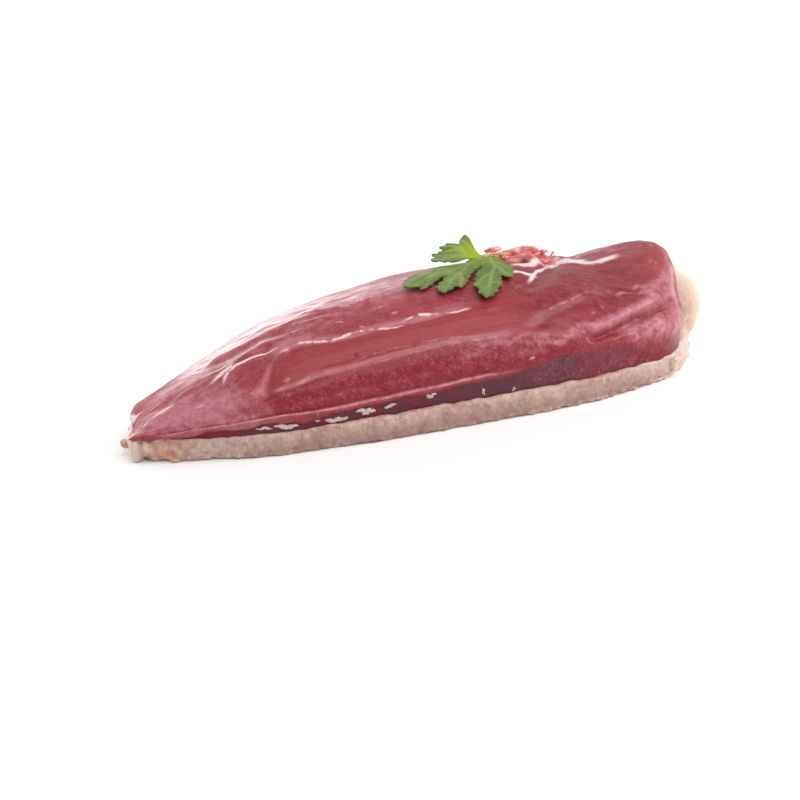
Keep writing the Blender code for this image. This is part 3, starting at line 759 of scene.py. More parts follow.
def meatMaterial():
    material, shader, read = newMaterial(
        "leanMeat", IOR=1.4, Specular_IOR_Level=0.3, Subsurface_Weight=0.15, Subsurface_Scale=0.0015,
        Subsurface_Radius=(1.0, 0.28, 0.2), Coat_Roughness=0.14)
    tint = palette(meatLook)
    chart, place = read("chart", "Vector"), placeOn(material)
    clouds = ranged(grain(place, 0.12, 5, 0.6), 0.38, 0.62)
    blotch = ranged(grain(place, 0.24, 4, 0.65), 0.44, 0.60)
    mottle = ranged(grain(place, 0.45, 5, 0.7), 0.38, 0.64)
    speckle = ranged(grain(place, 1.3, 4, 0.7), 0.42, 0.64)
    rising = grain(stretched(chart, 62, (2.6, 0.42, 1)), 1, 2, 0.6)
    falling = grain(stretched(chart, -54, (2.6, 0.42, 1)), 1, 2, 0.6)
    hairs = larger(ranged(rising, 0.55, 0.66), ranged(falling, 0.56, 0.67))
    hairs = times(hairs, ranged(mottle, 0.1, 0.8, 0.35, 1))
    streaks = ranged(grain(stretched(chart, 3, (18, 1.5, 1)), 1, 4, 0.6), 0.42, 0.66)
    smears = ranged(grain(stretched(chart, 8, (8, 2, 1)), 1, 5, 0.7), 0.42, 0.62)
    dashes = grain(stretched(chart, 0, (3.5, 3.5, 1)), 1, 4, 0.7)

    depth = times(read("deep"), ranged(blotch, 0, 1, 0.45, 0.95))
    colour = layered(tint["leanDark"], tint, [(clouds, "lean"), (times(mottle, 0.45), "leanLight"),
                                              (times(speckle, 0.14), "lilac"), (depth, "deep")])
    film = mixed(times(streaks, 0.5), tint["film"], tint["filmLight"])
    colour = mixed(times(read("film"), 0.85), colour, film)
    bare = layered(tint["bare"], tint, [(times(mottle, 0.45), "lean"), (times(hairs, 0.45), "bareLight")])
    colour = mixed(read("bare"), colour, bare)
    lilac = mixed(plus(times(mottle, 0.5), 0.3), tint["lilacDark"], tint["lilac"])
    patchy = times(read("lilac"), larger(ranged(blotch, 0, 1, 0.62, 1), read("tip")))
    veil = ranged(minus(plus(patchy, times(mottle, 0.2)), times(speckle, 0.1)), 0.1, 1.0)
    colour = mixed(veil, colour, lilac)

    strip = times(ranged(read("lipGap"), 0.2, -0.5), read("lip"))
    stripColour = mixed(times(larger(read("lilac"), read("tip")), 0.85), tint["strip"], lilac)
    colour = mixed(times(strip, 0.75), colour, stripColour)
    # rim paints a broken highlight along the lip's rolled edge
    rim = times(ranged(worked("ABSOLUTE", read("lipGap")), 0.55, 0.1), read("lip"))
    colour = mixed(times(rim, ranged(dashes, 0.35, 0.6, 0.35, 0.9)), colour, tint["lipHighlight"])
    # The band under the lip is purple silverskin darkened as painted shade under the overhang, and crimson
    # deepens that painted shade at both ends.
    lint = times(times(read("fuzz"), speckle), mottle)
    under = layered(tint["under"], tint, [(ranged(grain(place, 0.1, 2), 0.47, 0.6), "underRed"),
                                          (read("crimson"), "crimson"), (times(lint, 0.5), "fuzz")])
    band = times(ranged(read("bandGap"), 0.3, -0.5), read("under"))
    colour = mixed(band, colour, under)
    torn = mixed(times(mottle, 0.6), tint["torn"], tint["pale"])
    torn = mixed(ranged(mottle, 0, 1, 0.2, 0.9), tint["tornRed"], torn)
    colour = mixed(read("torn"), colour, torn)

    cloudy = times(read("haze"), ranged(dashes, 0.35, 0.6, 0.6, 1))
    scrap = times(read("fleck"), ranged(speckle, 0, 1, 0.7, 1.1))
    thin = worked("DIVIDE", worked("SQRT", read("lineGap")), ranged(dashes, 0.40, 0.62, 0.15, 1.0))
    thin = times(ranged(thin, 1, 0.25), read("line"))
    specks = ranged(cells(place, 0.11), 0.045, 0.02)
    # sheen lays the veil colour over the ridge's wet film as a painted highlight
    sheen = times(read("paintedSheen"), ranged(smears, 0, 1, 0.25, 0.7))
    # wide paints the crests' highlight, broken by dashes
    wide = worked("DIVIDE", worked("SQRT", read("crestGap")), ranged(dashes, 0.35, 0.6, 0.7, 1.2))
    wide = times(ranged(wide, 1.2, 0.3), read("crestHighlight"))
    colour = layered(colour, tint, [(cloudy, "haze"), (scrap, "fleck"), (thin, "pale"),
                                    (times(specks, 0.5), "speck"), (sheen, "veil"), (wide, "crestHighlight"),
                                    (read("dark"), "dark")])

    wet = ranged(plus(mottle, speckle), 0, 2, 0.28, 0.46)
    for mask, drier in ((read("lilac"), 0.12), (read("paintedSheen"), 0.06), (wide, -0.15), (read("matte"), 0.3)):
        wet = plus(wet, times(mask, drier))
    connect(plus(times(read("matte"), -0.22), 0.22), shader.inputs["Coat Weight"])
    height = plus(times(hairs, larger(read("bare"), 0.15)), times(read("film"), streaks))
    height = plus(plus(height, times(speckle, 0.6)), thin)
    dress(shader, colour, wet, height, 0.35, 0.0003)
    return material


def makeMeat():
    bm, x, arc, places = meatBall(list(meat["steps"].values()), meat["stations"])
    masks, lineRelief = meatMasks(x, arc, places)
    relief = lineRelief + fineRelief(x, arc, places, masks)
    relief *= smoothStep(meat["arcLength"] * 2.2, meat["arcLength"] * 2.0, arc)
    chin = smoothStep(*meat["chinX"], x) * smoothStep(*meat["chinY"], places[:, 1])
    chin *= smoothStep(*meat["chinZ"], places[:, 2])
    places += readNormals(bm) * relief[:, None] + chin[:, None] * np.array(meat["chinReach"])
    movePlaces(bm.verts, places)
    surface = BVHTree.FromBMesh(bm)
    chart = np.stack([x, arc * girthShare(x), np.zeros(len(x))], 1)
    piece = addPiece("breastMeat", bm, meatMaterial(), {"chart": chart, **masks})
    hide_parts("breast_meat")
    print("meat made:", len(piece.data.polygons), "faces")
    return surface


# The skin with its fat. Turns run round the outline from the tip by the near side, in half turns.
fat = {
    "tipX": -84.4, "endX": 93.5, "centre": (5, -3),
    "nearY": [(-84, -27), (-66, -33.4), (-50, -39.9), (-20, -44.5), (10, -46), (40, -46.3), (60, -42.3),
              (78, -39.6), (95, -26.6)],
    "farY": [(-84, -5.1), (-60, 13), (-30, 28), (10, 38), (45, 41), (75, 40), (95, 37)],
    "axisY": [(-84, -22.6), (-50, -9), (0, -3), (50, -1), (95, 8.8)],
    "tipRound": 15.9, "endRound": 44.3,
    "thick": [(-84, 6.6), (-60, 6.5), (-30, 6.7), (0, 7.1), (40, 7.2), (60, 6.8), (95, 6.8)],
    "rimThick": [(-84, 3), (-70, 9), (95, 9)],
    "rimZ": [(-84, 5.5), (-60, 6.5), (-40, 10), (0, 15), (60, 18.5), (95, 21)],
    "lobeZ": 22.8, "lobeBulge": 6.7, "lobeLift": 0.92, "farBulge": 3, "tipBulge": 0.8, "squareness": 0.25,
    "lumpHeight": 0.35, "lumpSize": 4,
    "lobeTurns": (0.92, 0.95, 1.03, 1.30), "farTurns": (1.0, 1.2, 1.8, 2.0), "tipTurns": (0, 0.14, 1.8, 2.0),
    "stepsRound": 760, "topRings": 3, "rimRings": 46, "floorRings": 34,
    "bedSteps": [4, 60, 32, 10, 12], "bedStations": 180, "bedGap": 0.12,
}

# Where the looks of the fat start and stop: (none, full) places, turns or slopes.
fatSpans = {
    "farTurn": [(1.0, 1.15), (2.0, 1.85)], "farSlope": [(0.1, -0.5)], "floorZ": [(0.35, 0.1)],
    "floorSlope": [(-0.7, -0.95)], "nearY": [(-8, -18)], "ragZ": [(1.8, 0.4)], "ragX": [(15, 45)],
    "footShadeZ": [(6.5, 1.2)], "footShadeX": [(-70, -40), (85, 60)], "litEndX": [(40, 84)], "litEndZ": [(8, 3)],
    "tipBlobX": [(-80, -82)],
}
orangeMark = {"x": -76, "y": -29, "half": 4}


def skinEdge(turn):
    middle, half = (fat["tipX"] + fat["endX"]) / 2, (fat["endX"] - fat["tipX"]) / 2
    x = middle - half * np.cos(turn)
    side = np.where(np.sin(turn) > 0, curveAt(fat["nearY"], x), curveAt(fat["farY"], x))
    axisY = curveAt(fat["axisY"], x)
    share = noseShare(x, fat["tipX"], fat["endX"], fat["tipRound"], fat["endRound"])
    return np.stack([x, axisY + (side - axisY) * share, np.zeros(len(x))], 1)


def skinRim(turn, x):
    # height, bulge and squareness of the rim, and how much of the tall end lobe is there
    half = turn / math.pi
    lobe, back = (smoothStep(*turns[:2], half) * (1 - smoothStep(*turns[2:], half))
                  for turns in (fat["lobeTurns"], fat["farTurns"]))
    tip = np.maximum(1 - smoothStep(*fat["tipTurns"][:2], half), smoothStep(*fat["tipTurns"][2:], half))
    slab = curveAt(fat["thick"], x)
    height = slab + (curveAt(fat["rimZ"], x) - slab) * back
    height += (fat["lobeZ"] - height) * lobe
    bulge = fat["lobeBulge"] * lobe + fat["farBulge"] * back * (1 - lobe) + fat["tipBulge"] * tip
    square = fat["squareness"] + (1 - fat["squareness"]) * np.maximum.reduce([lobe, back, tip / 2])
    return height, bulge, square, lobe, back


def fatBall():
    rings = fat["topRings"] + fat["rimRings"] + fat["floorRings"]
    bm = bmesh.new()
    bmesh.ops.create_uvsphere(bm, u_segments=fat["stepsRound"], v_segments=rings, radius=1)
    ball = readPlaces(bm.verts)
    ring = np.round(np.arccos(np.clip(ball[:, 2], -1, 1)) / math.pi * rings)
    turn = np.arctan2(ball[:, 1], ball[:, 0]) % math.tau
    edge = skinEdge(turn)
    ahead = skinEdge(turn + 0.02) - skinEdge(turn - 0.02)
    outward = np.stack([ahead[:, 1], -ahead[:, 0], np.zeros(len(turn))], 1)
    outward /= np.linalg.norm(outward, axis=1)[:, None]
    height, bulge, square, lobe, back = skinRim(turn, edge[:, 0])
    inset = curveAt(fat["rimThick"], edge[:, 0]) / 2
    centre = np.array([*fat["centre"], 0])

    topShare = (ring / fat["topRings"])[:, None]
    floorShare = ((rings - ring) / fat["floorRings"])[:, None]
    inner = edge - outward * inset[:, None]
    top = centre + (inner - centre) * topShare
    slab = curveAt(fat["thick"], top[:, 0])
    top[:, 2] = slab + (height - slab) * topShare[:, 0]
    floor = centre + (inner - centre) * floorShare

    # the rim's outline is a rounded square, walked in even turns
    tilt = math.pi / 2 - (ring - fat["topRings"]) / fat["rimRings"] * math.pi
    power = 2 / square
    reach = (np.abs(np.cos(tilt)) ** power + np.abs(np.sin(tilt)) ** power) ** (-1 / power)
    out, lift = reach * np.abs(np.cos(tilt)), reach * np.sin(tilt)
    rim = edge + outward * (out * (inset + bulge) - inset)[:, None]
    rim[:, 2] = height * np.clip((1 + lift) / 2, 0, 1) ** (1 + (fat["lobeLift"] - 1) * lobe)
    lump = noiseAt(rim, fat["lumpSize"], 0) * fat["lumpHeight"] * 2 * out
    rim += outward * lump[:, None]

    onTop, onFloor = ring < fat["topRings"], ring > fat["topRings"] + fat["rimRings"]
    places = np.where(onTop[:, None], top, np.where(onFloor[:, None], floor, rim))
    movePlaces(bm.verts, places)
    faceOut(bm)
    return bm, {"turn": turn / math.pi, "out": np.where(onTop | onFloor, 0, out), "lobe": lobe, "back": back,
                "outward": outward, "height": height, "onFloor": onFloor}


# The noises of the fat's relief: height, size and seed.
fatLumps = {
    "pleats": [(0.40, (6, 12, 9), 2.4), (0.15, (2, 5, 2.5), 6.8)],
    "crumbs": [(0.5, (1.5, 1.5, 1.2), 1.3), (0.35, 0.8, 4.1)],
    "farSide": [(0.25, 6, 5.5)],
    "tip": [(2.0, 2.6, 7.1)],
}
footCrumbs = {"z": (2.2, 0.4), "sway": 1.2, "least": 0.24, "most": 2.2, "toothyX": (20, 50)}
tipRim = {"blob": (0.036, 0.020), "notch": (0.066, 0.009), "height": 0.9,    # in half turns
          "lumpTurns": [(0.05, 0.07), (0.20, 0.15)], "sunk": 0.2}


def fatRelief(places, rim):
    # the cut near face has soft pleats and a crumbly foot, and the tip is lumpy
    x, _, z = places.T
    turn, cut = rim["turn"], (1 - rim["lobe"]) * (1 - rim["back"])
    noises = {name: noisy(places, each) for name, each in fatLumps.items()}
    foot = smoothStep(*footCrumbs["z"], z + footCrumbs["sway"] * noiseAt(places, 3, 9.3))
    foot *= 0.5 + 0.5 * smoothStep(*footCrumbs["toothyX"], x)
    total = cut * (noises["pleats"] + noises["crumbs"] * (footCrumbs["least"] + footCrumbs["most"] * foot))
    total += (1 - cut) * noises["farSide"]
    blob, notch = (bump(turn - middle, half) for middle, half in (tipRim["blob"], tipRim["notch"]))
    total += tipRim["height"] * (blob - notch)
    total += within(turn, tipRim["lumpTurns"]) * (noises["tip"] - tipRim["sunk"])
    return total * rim["out"]


fatLook = {
    "cream": (198, 168, 154), "pink": (182, 138, 128), "orange": (208, 140, 114), "white": (234, 216, 204),
    # lobe is the end lobe's paler fat made lighter still as painted light on the lit end; shade darkens
    # random strokes and gives the painted shade at the foot
    "lobe": (252, 228, 210), "skin": (226, 200, 172), "skinDark": (196, 160, 134), "shade": (142, 100, 92),
}


def fatMaterial():
    material, shader, read = newMaterial(
        "paleFat", IOR=1.45, Specular_IOR_Level=0.35, Subsurface_Weight=0.3, Subsurface_Scale=0.002,
        Subsurface_Radius=(1.0, 0.55, 0.4), Coat_Weight=0.12, Coat_Roughness=0.3)
    tint = palette(fatLook)
    place = placeOn(material)
    clouds = ranged(grain(place, 0.10, 4), 0.42, 0.60)
    patches = ranged(grain(place, 0.26, 4, 0.65), 0.56, 0.70)
    crumbs = grain(place, 0.75, 5, 0.7)
    strokes = grain(stretched(place, 0, (1.6, 3.2, 3.2)), 1, 4, 0.7)
    lobules = cells(place, 0.5, "SMOOTH_F1")
    colour = layered(tint["cream"], tint, [
        (clouds, "pink"), (times(patches, 0.35), "orange"),
        (times(ranged(strokes, 0.50, 0.62), 0.40), "shade"),
        # pale is painted light towards the blunt end, and the tip blob's own paler colour
        (times(ranged(crumbs, 0.50, 0.62), 0.36), "white"), (times(read("pale"), 0.7), "white"),
        # low lays painted shade at the foot of the near face
        (times(read("low"), 0.6), "shade"), (read("lobe"), "lobe"),
        (times(read("orange"), ranged(strokes, 0.4, 0.6)), "orange"),
        (times(read("rag"), ranged(crumbs, 0.44, 0.58, 0, 0.8)), "white")])
    pores = ranged(cells(place, 0.42, "F1", 0.7), 0.10, 0.24, 1, 0)
    skin = layered(tint["skin"], tint, [(clouds, "skinDark"), (times(pores, 0.6), "skinDark")])
    colour = mixed(read("skin"), colour, skin)
    height = times(lobules, 0.5)
    height = plus(times(crumbs, 0.8), height)
    height = minus(height, times(pores, read("skin")))
    dress(shader, colour, ranged(crumbs, 0.3, 0.7, 0.36, 0.58), height, 0.45, 0.0005)
    return material


def makeFat():
    bm, rim = fatBall()
    places = readPlaces(bm.verts)
    places += rim["outward"] * fatRelief(places, rim)[:, None]
    ledge = smoothStep(3.5, 1, rim["height"] - places[:, 2]) * (1 - rim["back"]) * (1 - rim["lobe"])
    places[:, 2] += ledge * 0.5 * noiseAt(places, 3.2, 4.4)
    follicles = np.array([noise.cell_vector(p)[0] for p in (places / 3.4).tolist()])
    places[:, 2] = np.maximum(places[:, 2], 0) + np.where(rim["onFloor"], 0.05 * follicles, 0)
    movePlaces(bm.verts, places)
    finish = fatMaterial()
    piece = addPiece("fatAndSkin", bm, finish, {"lobe": rim["lobe"]})

    bedMesh, _, _, bedPlaces = meatBall(fat["bedSteps"], fat["bedStations"])
    movePlaces(bedMesh.verts, bedPlaces + readNormals(bedMesh) * fat["bedGap"])
    bed = addPiece("meatBed", bedMesh, finish, {})
    cut = piece.modifiers.new("bed", "BOOLEAN")
    cut.operation = "DIFFERENCE"
    cut.solver = "MANIFOLD"
    cut.object = bed
    depsgraph = bpy.context.evaluated_depsgraph_get()
    mesh = bpy.data.meshes.new_from_object(piece.evaluated_get(depsgraph))
    piece.modifiers.clear()
    piece.data = mesh
    mesh.shade_smooth()
    bpy.data.objects.remove(bed)

    x, y, z = readPlaces(mesh.vertices).T / mm
    slope = np.array([vert.normal.z for vert in mesh.vertices])
    turn = (np.arctan2(-(y - fat["centre"][1]) * 2, -(x - fat["centre"][0])) / math.pi) % 2
    read = {"farTurn": turn, "farSlope": slope, "floorZ": z, "floorSlope": slope, "nearY": y, "ragZ": z,
            "ragX": x, "footShadeZ": z, "footShadeX": x, "litEndX": x + 0.6 * (y + 40), "litEndZ": np.abs(z - 3.5),
            "tipBlobX": x + 0.2 * y + 5}
    share = {name: within(read[name], pairs) for name, pairs in fatSpans.items()}
    looks = {
        "skin": np.maximum(share["farSlope"] * share["farTurn"], share["floorZ"] * share["floorSlope"]),
        "orange": bump(np.hypot(x - orangeMark["x"], y - orangeMark["y"]), orangeMark["half"]),
        "rag": share["nearY"] * share["ragZ"] * (0.3 + 0.7 * share["ragX"]),
        # low is painted shade, darker towards the foot of the near face
        "low": share["nearY"] * share["footShadeZ"] * share["footShadeX"],
        # pale lightens the near face towards the blunt end as painted light, and gives the tip's blob its own
        # paler colour
        "pale": share["nearY"] * np.maximum(0.75 * share["litEndX"] * share["litEndZ"],
                                            0.8 * share["tipBlobX"]),
    }
    for name, values in looks.items():
        mesh.attributes.new(name, "FLOAT", "POINT").data.foreach_set("value", values.astype(np.float32))
    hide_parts("fat_skin")
    print("fat made:", len(mesh.polygons), "faces")


# The parsley leaf. Its outline reads (bearing in degrees, reach): bearing 0 points to the breast's
# tip, above 0 the blade stands up, below 0 it lies down the near slope.
parsley = {
    "heart": (29.6, -3.2), "lift": 1.9, "tipLift": 1.0, "slopeLift": 0.6, "slopeReach": 28,
    "knot": 1.6, "open": 9, "wave": 0.4, "ripple": 0.5, "folds": 6, "tilt": 35,
    "thick": 0.34, "grid": 0.5, "curve": 5, "tooth": 0.75, "toothStep": 2.6,
    "puff": 0.16, "puffGap": (0.1, 1.2),        # the blade swells between its veins
    "edgeDroop": 0.15, "edgeGap": (1.4, 0), "bumps": [(0.12, 2.4, 3.7)], "flatHeart": (1.5, 5),
    "veinHalf": 0.32, "veinReach": (34, 20), "darkEdge": (1.0, 0), "heartReach": (11, 2.5),
    "outline": [(76, 3), (73, 10), (60, 10.2), (46, 9.3), (38, 11.8), (30, 13.8), (22, 13.2),
                (16, 15.8), (10, 15.4), (5, 16.8), (3, 11), (-2, 5),
                (-7, 13), (-10, 21), (-15, 28), (-23, 32.5), (-28, 33), (-31, 30.5), (-34, 32), (-36.5, 21.5),
                (-39, 27.5), (-45, 31), (-49, 29), (-51, 26), (-54, 27), (-55, 18), (-57.5, 8),
                (-60, 14), (-60.5, 24.5), (-63, 24), (-66, 29.3), (-71, 30), (-76, 26.8), (-78, 23.8),
                (-80, 25), (-84, 16.5), (-89, 18.8), (-95, 18), (-104, 13.5), (-117, 11),
                (-122, 6), (-126, 3)],
    "veins": [[(66, 1), (62, 6), (60, 10)], [(20, 1), (34, 7), (32, 13.5)], [(34, 7), (48, 9)],
              [(20, 1), (14, 9), (13, 15.5)], [(14, 9), (7, 13), (6, 16.5)], [(34, 7), (22, 11), (20, 13)],
              [(-25, 2), (-30, 9), (-26, 20), (-26, 32.5)], [(-27, 16), (-18, 22), (-17, 28)],
              [(-26, 22), (-31, 27), (-33, 31)], [(-27, 13), (-14, 17), (-11, 22)],
              [(-33, 8), (-41, 16), (-46, 30)], [(-41, 16), (-50, 21), (-53, 26.5)],
              [(-43, 22), (-40, 26), (-40, 28)], [(-100, 2), (-86, 9), (-74, 18), (-70, 29.5)],
              [(-75, 16), (-65, 20), (-62, 24)], [(-72, 22), (-78, 22), (-79, 24.5)],
              [(-71, 25), (-66, 27), (-65, 29)], [(-86, 9), (-91, 14), (-93, 18)],
              [(-94, 6), (-108, 9), (-114, 11)]],
    "stem": {"length": 8, "radius": 0.6, "taper": 0.4, "flat": 0.6, "drift": 1.2, "arch": 0.9, "drop": 0.5,
             "knobRadius": 1.3, "knobPlace": 0.1, "knobLength": 0.1},
}


def polar(points):
    turned = [(math.radians(turn), reach) for turn, reach in points]
    return [(reach * math.cos(turn), reach * math.sin(turn)) for turn, reach in turned]


def smoothLoop(corners, steps):
    # a closed curve through every corner, without overshoot at the teeth
    points = np.array(corners, float)
    before, after = np.roll(points, 1, 0), np.roll(points, -1, 0)
    shorter = np.minimum(np.linalg.norm(points - before, axis=1), np.linalg.norm(after - points, axis=1))
    slope = (after - before) / np.linalg.norm(after - before, axis=1)[:, None] * shorter[:, None]
    loop = []
    for here, there, start, stop in zip(points, after, slope, np.roll(slope, -1, 0)):
        for step in range(steps):
            loop.append(blended(step / steps, here, there, start, stop))
    return loop


def toothed(loop, tooth, step):
    # small saw teeth along a closed curve, away from the heart
    points = np.array([*loop, loop[0]])
    run = np.concatenate([[0], np.cumsum(np.hypot(*np.diff(points, axis=0).T))])
    count = round(run[-1] / step)
    even = np.arange(count * 7) / (count * 7) * run[-1]
    points = np.stack([np.interp(even, run, points[:, axis]) for axis in (0, 1)], 1)
    along = np.roll(points, -1, 0) - np.roll(points, 1, 0)
    out = np.stack([along[:, 1], -along[:, 0]], 1) / np.linalg.norm(along, axis=1)[:, None]
    saw = np.minimum((even * count / run[-1] % 1) * 3.5, (1 - even * count / run[-1] % 1) * 1.4)
    reach = smoothStep(8, 15, np.hypot(*points.T))
    return points + out * (tooth * reach * (saw - 0.5))[:, None]


def meatTop(x, y):
    # height of the smooth lean side over a place
    ridgeY, ridgeZ = curveAt(meat["ridgeY"], x), curveAt(meat["ridgeZ"], x)
    near = y < ridgeY
    reach = np.where(near, ridgeY - curveAt(meat["nearY"], x), curveAt(meat["farY"], x) - ridgeY)
    low = np.where(near, curveAt(meat["lipZ"], x), curveAt(meat["flankZ"], x))
    return low + (ridgeZ - low) * np.sqrt(np.maximum(1 - ((y - ridgeY) / reach) ** 2, 0))


def leafPlaces(back, across, above):
    heartX, heartY = parsley["heart"]
    x, y = heartX - back, heartY + across
    reach = np.hypot(back, across)
    heartZ = curveAt(meat["ridgeZ"], heartX) + parsley["lift"]
    opened = smoothStep(parsley["knot"], parsley["open"], reach)
    folds = np.cos(np.arctan2(across, back) * parsley["folds"])
    above = above + parsley["wave"] * opened * np.sin(reach * parsley["ripple"]) * folds
    tilt = math.radians(parsley["tilt"]) * opened
    lift = parsley["lift"] + (parsley["tipLift"] - parsley["lift"]) * opened
    lift += parsley["slopeLift"] * (across / parsley["slopeReach"]) ** 2
    upright = np.stack([x, heartY + across * np.cos(tilt), heartZ + across * np.sin(tilt) + above], 1)
    draped = np.stack([x, y, heartZ + (meatTop(x, y) + lift - heartZ) * opened + above], 1)
    return np.where((across >= 0)[:, None], upright, draped)


def addStem(bm):
    stem = parsley["stem"]
    made, share, turn, narrow = addRod(bm, 16, 40, 2)
    radius = stem["radius"] * (1 - stem["taper"] * share)
    radius += (stem["knobRadius"] - stem["radius"]) * bump(share - stem["knobPlace"], stem["knobLength"])
    radius *= narrow
    x = parsley["heart"][0] - stem["knobRadius"] + stem["length"] * share
    y = parsley["heart"][1] + stem["drift"] * share + radius * np.cos(turn)
    z = curveAt(meat["ridgeZ"], parsley["heart"][0]) + parsley["lift"] - stem["drop"] * share
    z += stem["arch"] * np.sin(math.pi * share) + stem["flat"] * radius * np.sin(turn)
    movePlaces(made, np.stack([x, y, z], 1))
    return share


leafLook = {"blade": (104, 128, 44), "bladeDark": (78, 102, 32), "bloom": (140, 154, 98),
            "vein": (158, 172, 106), "heart": (158, 180, 24), "stem": (184, 192, 100)}


def leafMaterial():
    material, shader, read = newMaterial("parsleyGreen", Specular_IOR_Level=0.3, Subsurface_Weight=0.1,
                                         Subsurface_Scale=0.001)
    tint = palette(leafLook)
    place = placeOn(material)
    clouds = ranged(grain(place, 0.16, 3, 0.6), 0.42, 0.60)
    mottle = ranged(grain(place, 0.6, 4, 0.65), 0.42, 0.62)
    bloom = ranged(grain(place, 1.4, 5, 0.75), 0.46, 0.66)
    netting = ranged(cells(place, 0.75, "DISTANCE_TO_EDGE"), 0.06, 0.01)
    colour = layered(tint["blade"], tint, [
        (clouds, "bladeDark"), (times(mottle, 0.35), "bladeDark"), (times(bloom, 0.6), "bloom"),
        (times(netting, 0.35), "vein"), (times(read("edge"), 0.5), "bladeDark"),
        (times(read("vein"), 0.75), "vein"), (read("heart"), "heart"), (read("stem"), "stem")])
    height = plus(bloom, mottle)
    height = minus(height, times(netting, 0.6))
    dress(shader, colour, ranged(bloom, 0, 1, 0.42, 0.62), height, 0.5, 0.0002)
    return material


def makeLeaf():
    bm = bmesh.new()
    outline = smoothLoop(polar(parsley["outline"]), parsley["curve"])
    outline = toothed(outline, parsley["tooth"], parsley["toothStep"])
    bm.faces.new([bm.verts.new((*corner, 0)) for corner in outline])
    lines = int(36 / parsley["grid"])
    for step in range(-lines, lines + 1):
        cut = (step + 0.5) * parsley["grid"]
        for facing in ((1, 0, 0), (0, 1, 0)):
            everything = [*bm.verts, *bm.edges, *bm.faces]
            bmesh.ops.bisect_plane(bm, geom=everything, dist=0.02, plane_co=(cut, cut, 0), plane_no=facing)
    bmesh.ops.triangulate(bm, faces=bm.faces)
    bmesh.ops.solidify(bm, geom=bm.faces[:], thickness=parsley["thick"])
    faceOut(bm)
    back, across, layer = readPlaces(bm.verts).T
    reach = np.hypot(back, across)
    veinGap = np.minimum.reduce([pathDistance(back, across, polar(vein)) for vein in parsley["veins"]])
    loop = [tuple(corner) for corner in outline]
    edgeGap = pathDistance(back, across, loop + loop[:1])
    puff = parsley["puff"] * smoothStep(*parsley["puffGap"], veinGap)
    puff -= parsley["edgeDroop"] * smoothStep(*parsley["edgeGap"], edgeGap)
    puff += noisy(np.stack([back, across, 0 * back], 1), parsley["bumps"])
    puff *= smoothStep(*parsley["flatHeart"], reach)
    movePlaces(bm.verts, leafPlaces(back, across, layer + puff))
    fields = {"vein": bump(veinGap, parsley["veinHalf"]) * smoothStep(*parsley["veinReach"], reach),
              "edge": smoothStep(*parsley["darkEdge"], edgeGap) * 0.5,
              "heart": smoothStep(*parsley["heartReach"], reach) * np.where(across > 0, 1, 0.35),
              "stem": np.zeros(len(back))}
    share = addStem(bm)
    grown = {"vein": 0 * share, "edge": 0 * share, "heart": 0.5 * smoothStep(0.3, 0.1, share),
             "stem": 0 * share + 1}
    fields = {name: np.concatenate([values, grown[name]]) for name, values in fields.items()}
    piece = addPiece("parsleyLeaf", bm, leafMaterial(), fields)
    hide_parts("parsley_leaf")
    print("leaf made:", len(piece.data.polygons), "faces")


# Torn bits of flesh behind the leaf: where each stands on the meat, how far its middle is above it,
# its half sizes, its turn on the spot, how ragged it is and its colour from red (0) to salmon (1).
shreds = {
    "leftFlap": ((36.6, 9.6), 1.0, (2.6, 0.8, 1.0), -12, 0.12, 0.9),
    "wideFlap": ((44.6, 8.4), 0.7, (5.0, 0.9, 1.3), -10, 0.14, 0.75),
    "backFlap": ((40.6, 8.6), 0.2, (3.6, 1.0, 1.1), 10, 0.14, 0.35),
    "tongue": ((50.2, 6.4), 0.6, (3.4, 0.9, 0.8), 14, 0.08, 0.0),
    "stemBit": ((35.8, 0.8), 0.5, (2.8, 1.4, 0.9), -25, 0.15, 0.1),
    "holeLip": ((38.6, 5.6), 0.5, (2.4, 0.9, 0.8), 5, 0.12, 0.35),
}
curl = {"path": [(48.0, 0.2, 0.2), (50.0, 1.8, 0.9), (51.8, 3.4, 1.3), (53.4, 5.0, 1.6), (55.0, 6.6, 2.3)],
        "radius": 0.50, "knob": 0.75, "tone": 0.35}
shredLook = {"red": (190, 40, 54), "salmon": (230, 146, 132), "light": (255, 222, 216)}


def groundAt(surface, x, y):
    hit = surface.ray_cast(Vector((x, y, 100)), Vector((0, 0, -1)))[0]
    return hit.z if hit else 0


def shredMaterial():
    material, shader, read = newMaterial(
        "tornFlesh", Subsurface_Weight=0.3, Subsurface_Scale=0.0015, Subsurface_Radius=(1.0, 0.35, 0.25),
        Coat_Weight=0.5, Coat_Roughness=0.15)
    tint = palette(shredLook)
    ragged = ranged(grain(placeOn(material), 0.6, 3, 0.6), 0.42, 0.66)
    colour = layered(tint["red"], tint, [(read("tone"), "salmon"), (times(ragged, 0.45), "light")])
    dress(shader, colour, ranged(ragged, 0, 1, 0.22, 0.42), ragged, 0.4, 0.0002)
    return material


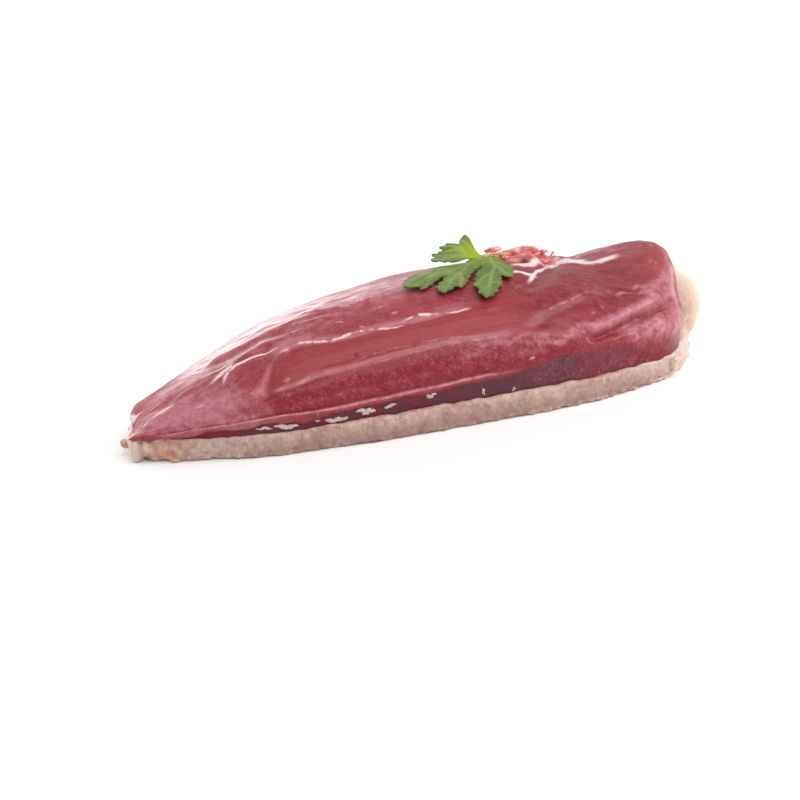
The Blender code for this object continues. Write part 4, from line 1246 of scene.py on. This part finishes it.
def makeShreds(surface):
    bm = bmesh.new()
    tones = []
    for (x, y), lift, half, turned, ragged, tone in shreds.values():
        centre = np.array([x, y, groundAt(surface, x, y) + lift])
        turn = math.radians(turned)
        made, flap = addBlob(bm, 4, centre, half, [(1.8 * ragged, 0.9), (0.5 * ragged, 0.35)])
        flap[:, 1] += 0.5 * np.sin(flap[:, 0] * 0.9 + x)
        along, across = flap[:, 0].copy(), flap[:, 1].copy()
        flap[:, 0] = along * math.cos(turn) - across * math.sin(turn)
        flap[:, 1] = along * math.sin(turn) + across * math.cos(turn)
        movePlaces(made, flap + centre)
        tones.append(np.full(len(made), float(tone)))
    made, share, turn, narrow = addRod(bm, 14, 60, 2.5)
    path = np.array([(x, y, groundAt(surface, x, y) + lift) for x, y, lift in curl["path"]])
    stations = np.linspace(0, 1, len(path))
    middle = np.stack([curveAt(list(zip(stations, path[:, axis])), share) for axis in range(3)], 1)
    radius = curl["radius"] * (1 - 0.4 * share) + (curl["knob"] - curl["radius"]) * bump(share - 0.95, 0.05)
    radius *= narrow * (1 + 0.3 * np.sin(share * 17) * np.sin(share * 7))
    side = np.stack([-0.66 * np.cos(turn), 0.75 * np.cos(turn), np.sin(turn)], 1)
    movePlaces(made, middle + side * radius[:, None])
    tones.append(np.full(len(made), curl["tone"]))
    faceOut(bm)
    piece = addPiece("tornShreds", bm, shredMaterial(), {"tone": np.concatenate(tones)})
    print("torn shreds made:", len(piece.data.polygons), "faces")


# Scraps of fat and film left on the dark band: (x, height, half length, half height), then loose ones
# at the tip and the blunt end: (centre, half sizes).
scraps = {
    "onBand": [(-50.5, 8.0, 2.4, 0.4), (-44.5, 7.9, 3.2, 0.7), (-36, 8.3, 0.7, 0.4), (-30.5, 8.1, 3.4, 0.9),
               (-22.5, 9.1, 2.7, 0.9), (-15.6, 9.4, 1.6, 0.6), (-3.9, 10.4, 1.4, 0.6), (11.3, 8.9, 0.5, 0.9),
               (20.2, 8.2, 0.5, 0.7)],
    "bits": 5, "thick": 0.45, "sunk": 0.15, "lumps": [(0.55, 0.8), (0.35, 0.3)],
    "atTip": [((-85.6, -16.5, 3.4), (1.0, 1.4, 1.2))],
    "atEnd": [((73.6, -37.6, 5.2), (1.3, 0.8, 0.9)), ((72.8, -37.8, 2.8), (0.6, 0.5, 1.2))],
}


def bandY(x, z):
    # how far out the dark band is at a height
    foot = curveAt(fat["thick"], x) - meat["floorSink"]
    share = (z - foot) / (curveAt(meat["lipZ"], x) - foot)
    return curveAt(meat["nearY"], x) + meat["bandInset"] * (1 - share**2)


def makeScraps():
    bm = bmesh.new()
    places = scraps["atTip"] + scraps["atEnd"]
    for x, z, long, high in scraps["onBand"]:
        for count in range(scraps["bits"]):
            along = (count + 0.5) / scraps["bits"] * 2 - 1
            sway = noise.noise((x + 3 * count, z, 0.5))
            atX, atZ = x + 0.8 * long * along, z + 1.2 * high * sway
            half = (long * (0.30 + 0.25 * abs(sway)), scraps["thick"], high * (0.75 - 0.4 * along**2))
            places.append(((atX, bandY(atX, atZ) + scraps["sunk"], atZ), half))
    for centre, half in places:
        made, spread = addBlob(bm, 3, np.array(centre), half, scraps["lumps"])
        movePlaces(made, spread + np.array(centre))
    faceOut(bm)
    count = len(bm.verts)
    atTip = np.array([vert.co.x < -80 for vert in bm.verts]) * 1.0
    fields = {"lobe": np.full(count, 0.45), "orange": 0.8 * atTip, "pale": 0.3 * (1 - atTip)}
    piece = addPiece("fatScraps", bm, bpy.data.materials["paleFat"], fields)
    print("fat scraps made:", len(piece.data.polygons), "faces")


meatSurface = makeMeat()
makeFat()
makeLeaf()
makeShreds(meatSurface)
makeScraps()
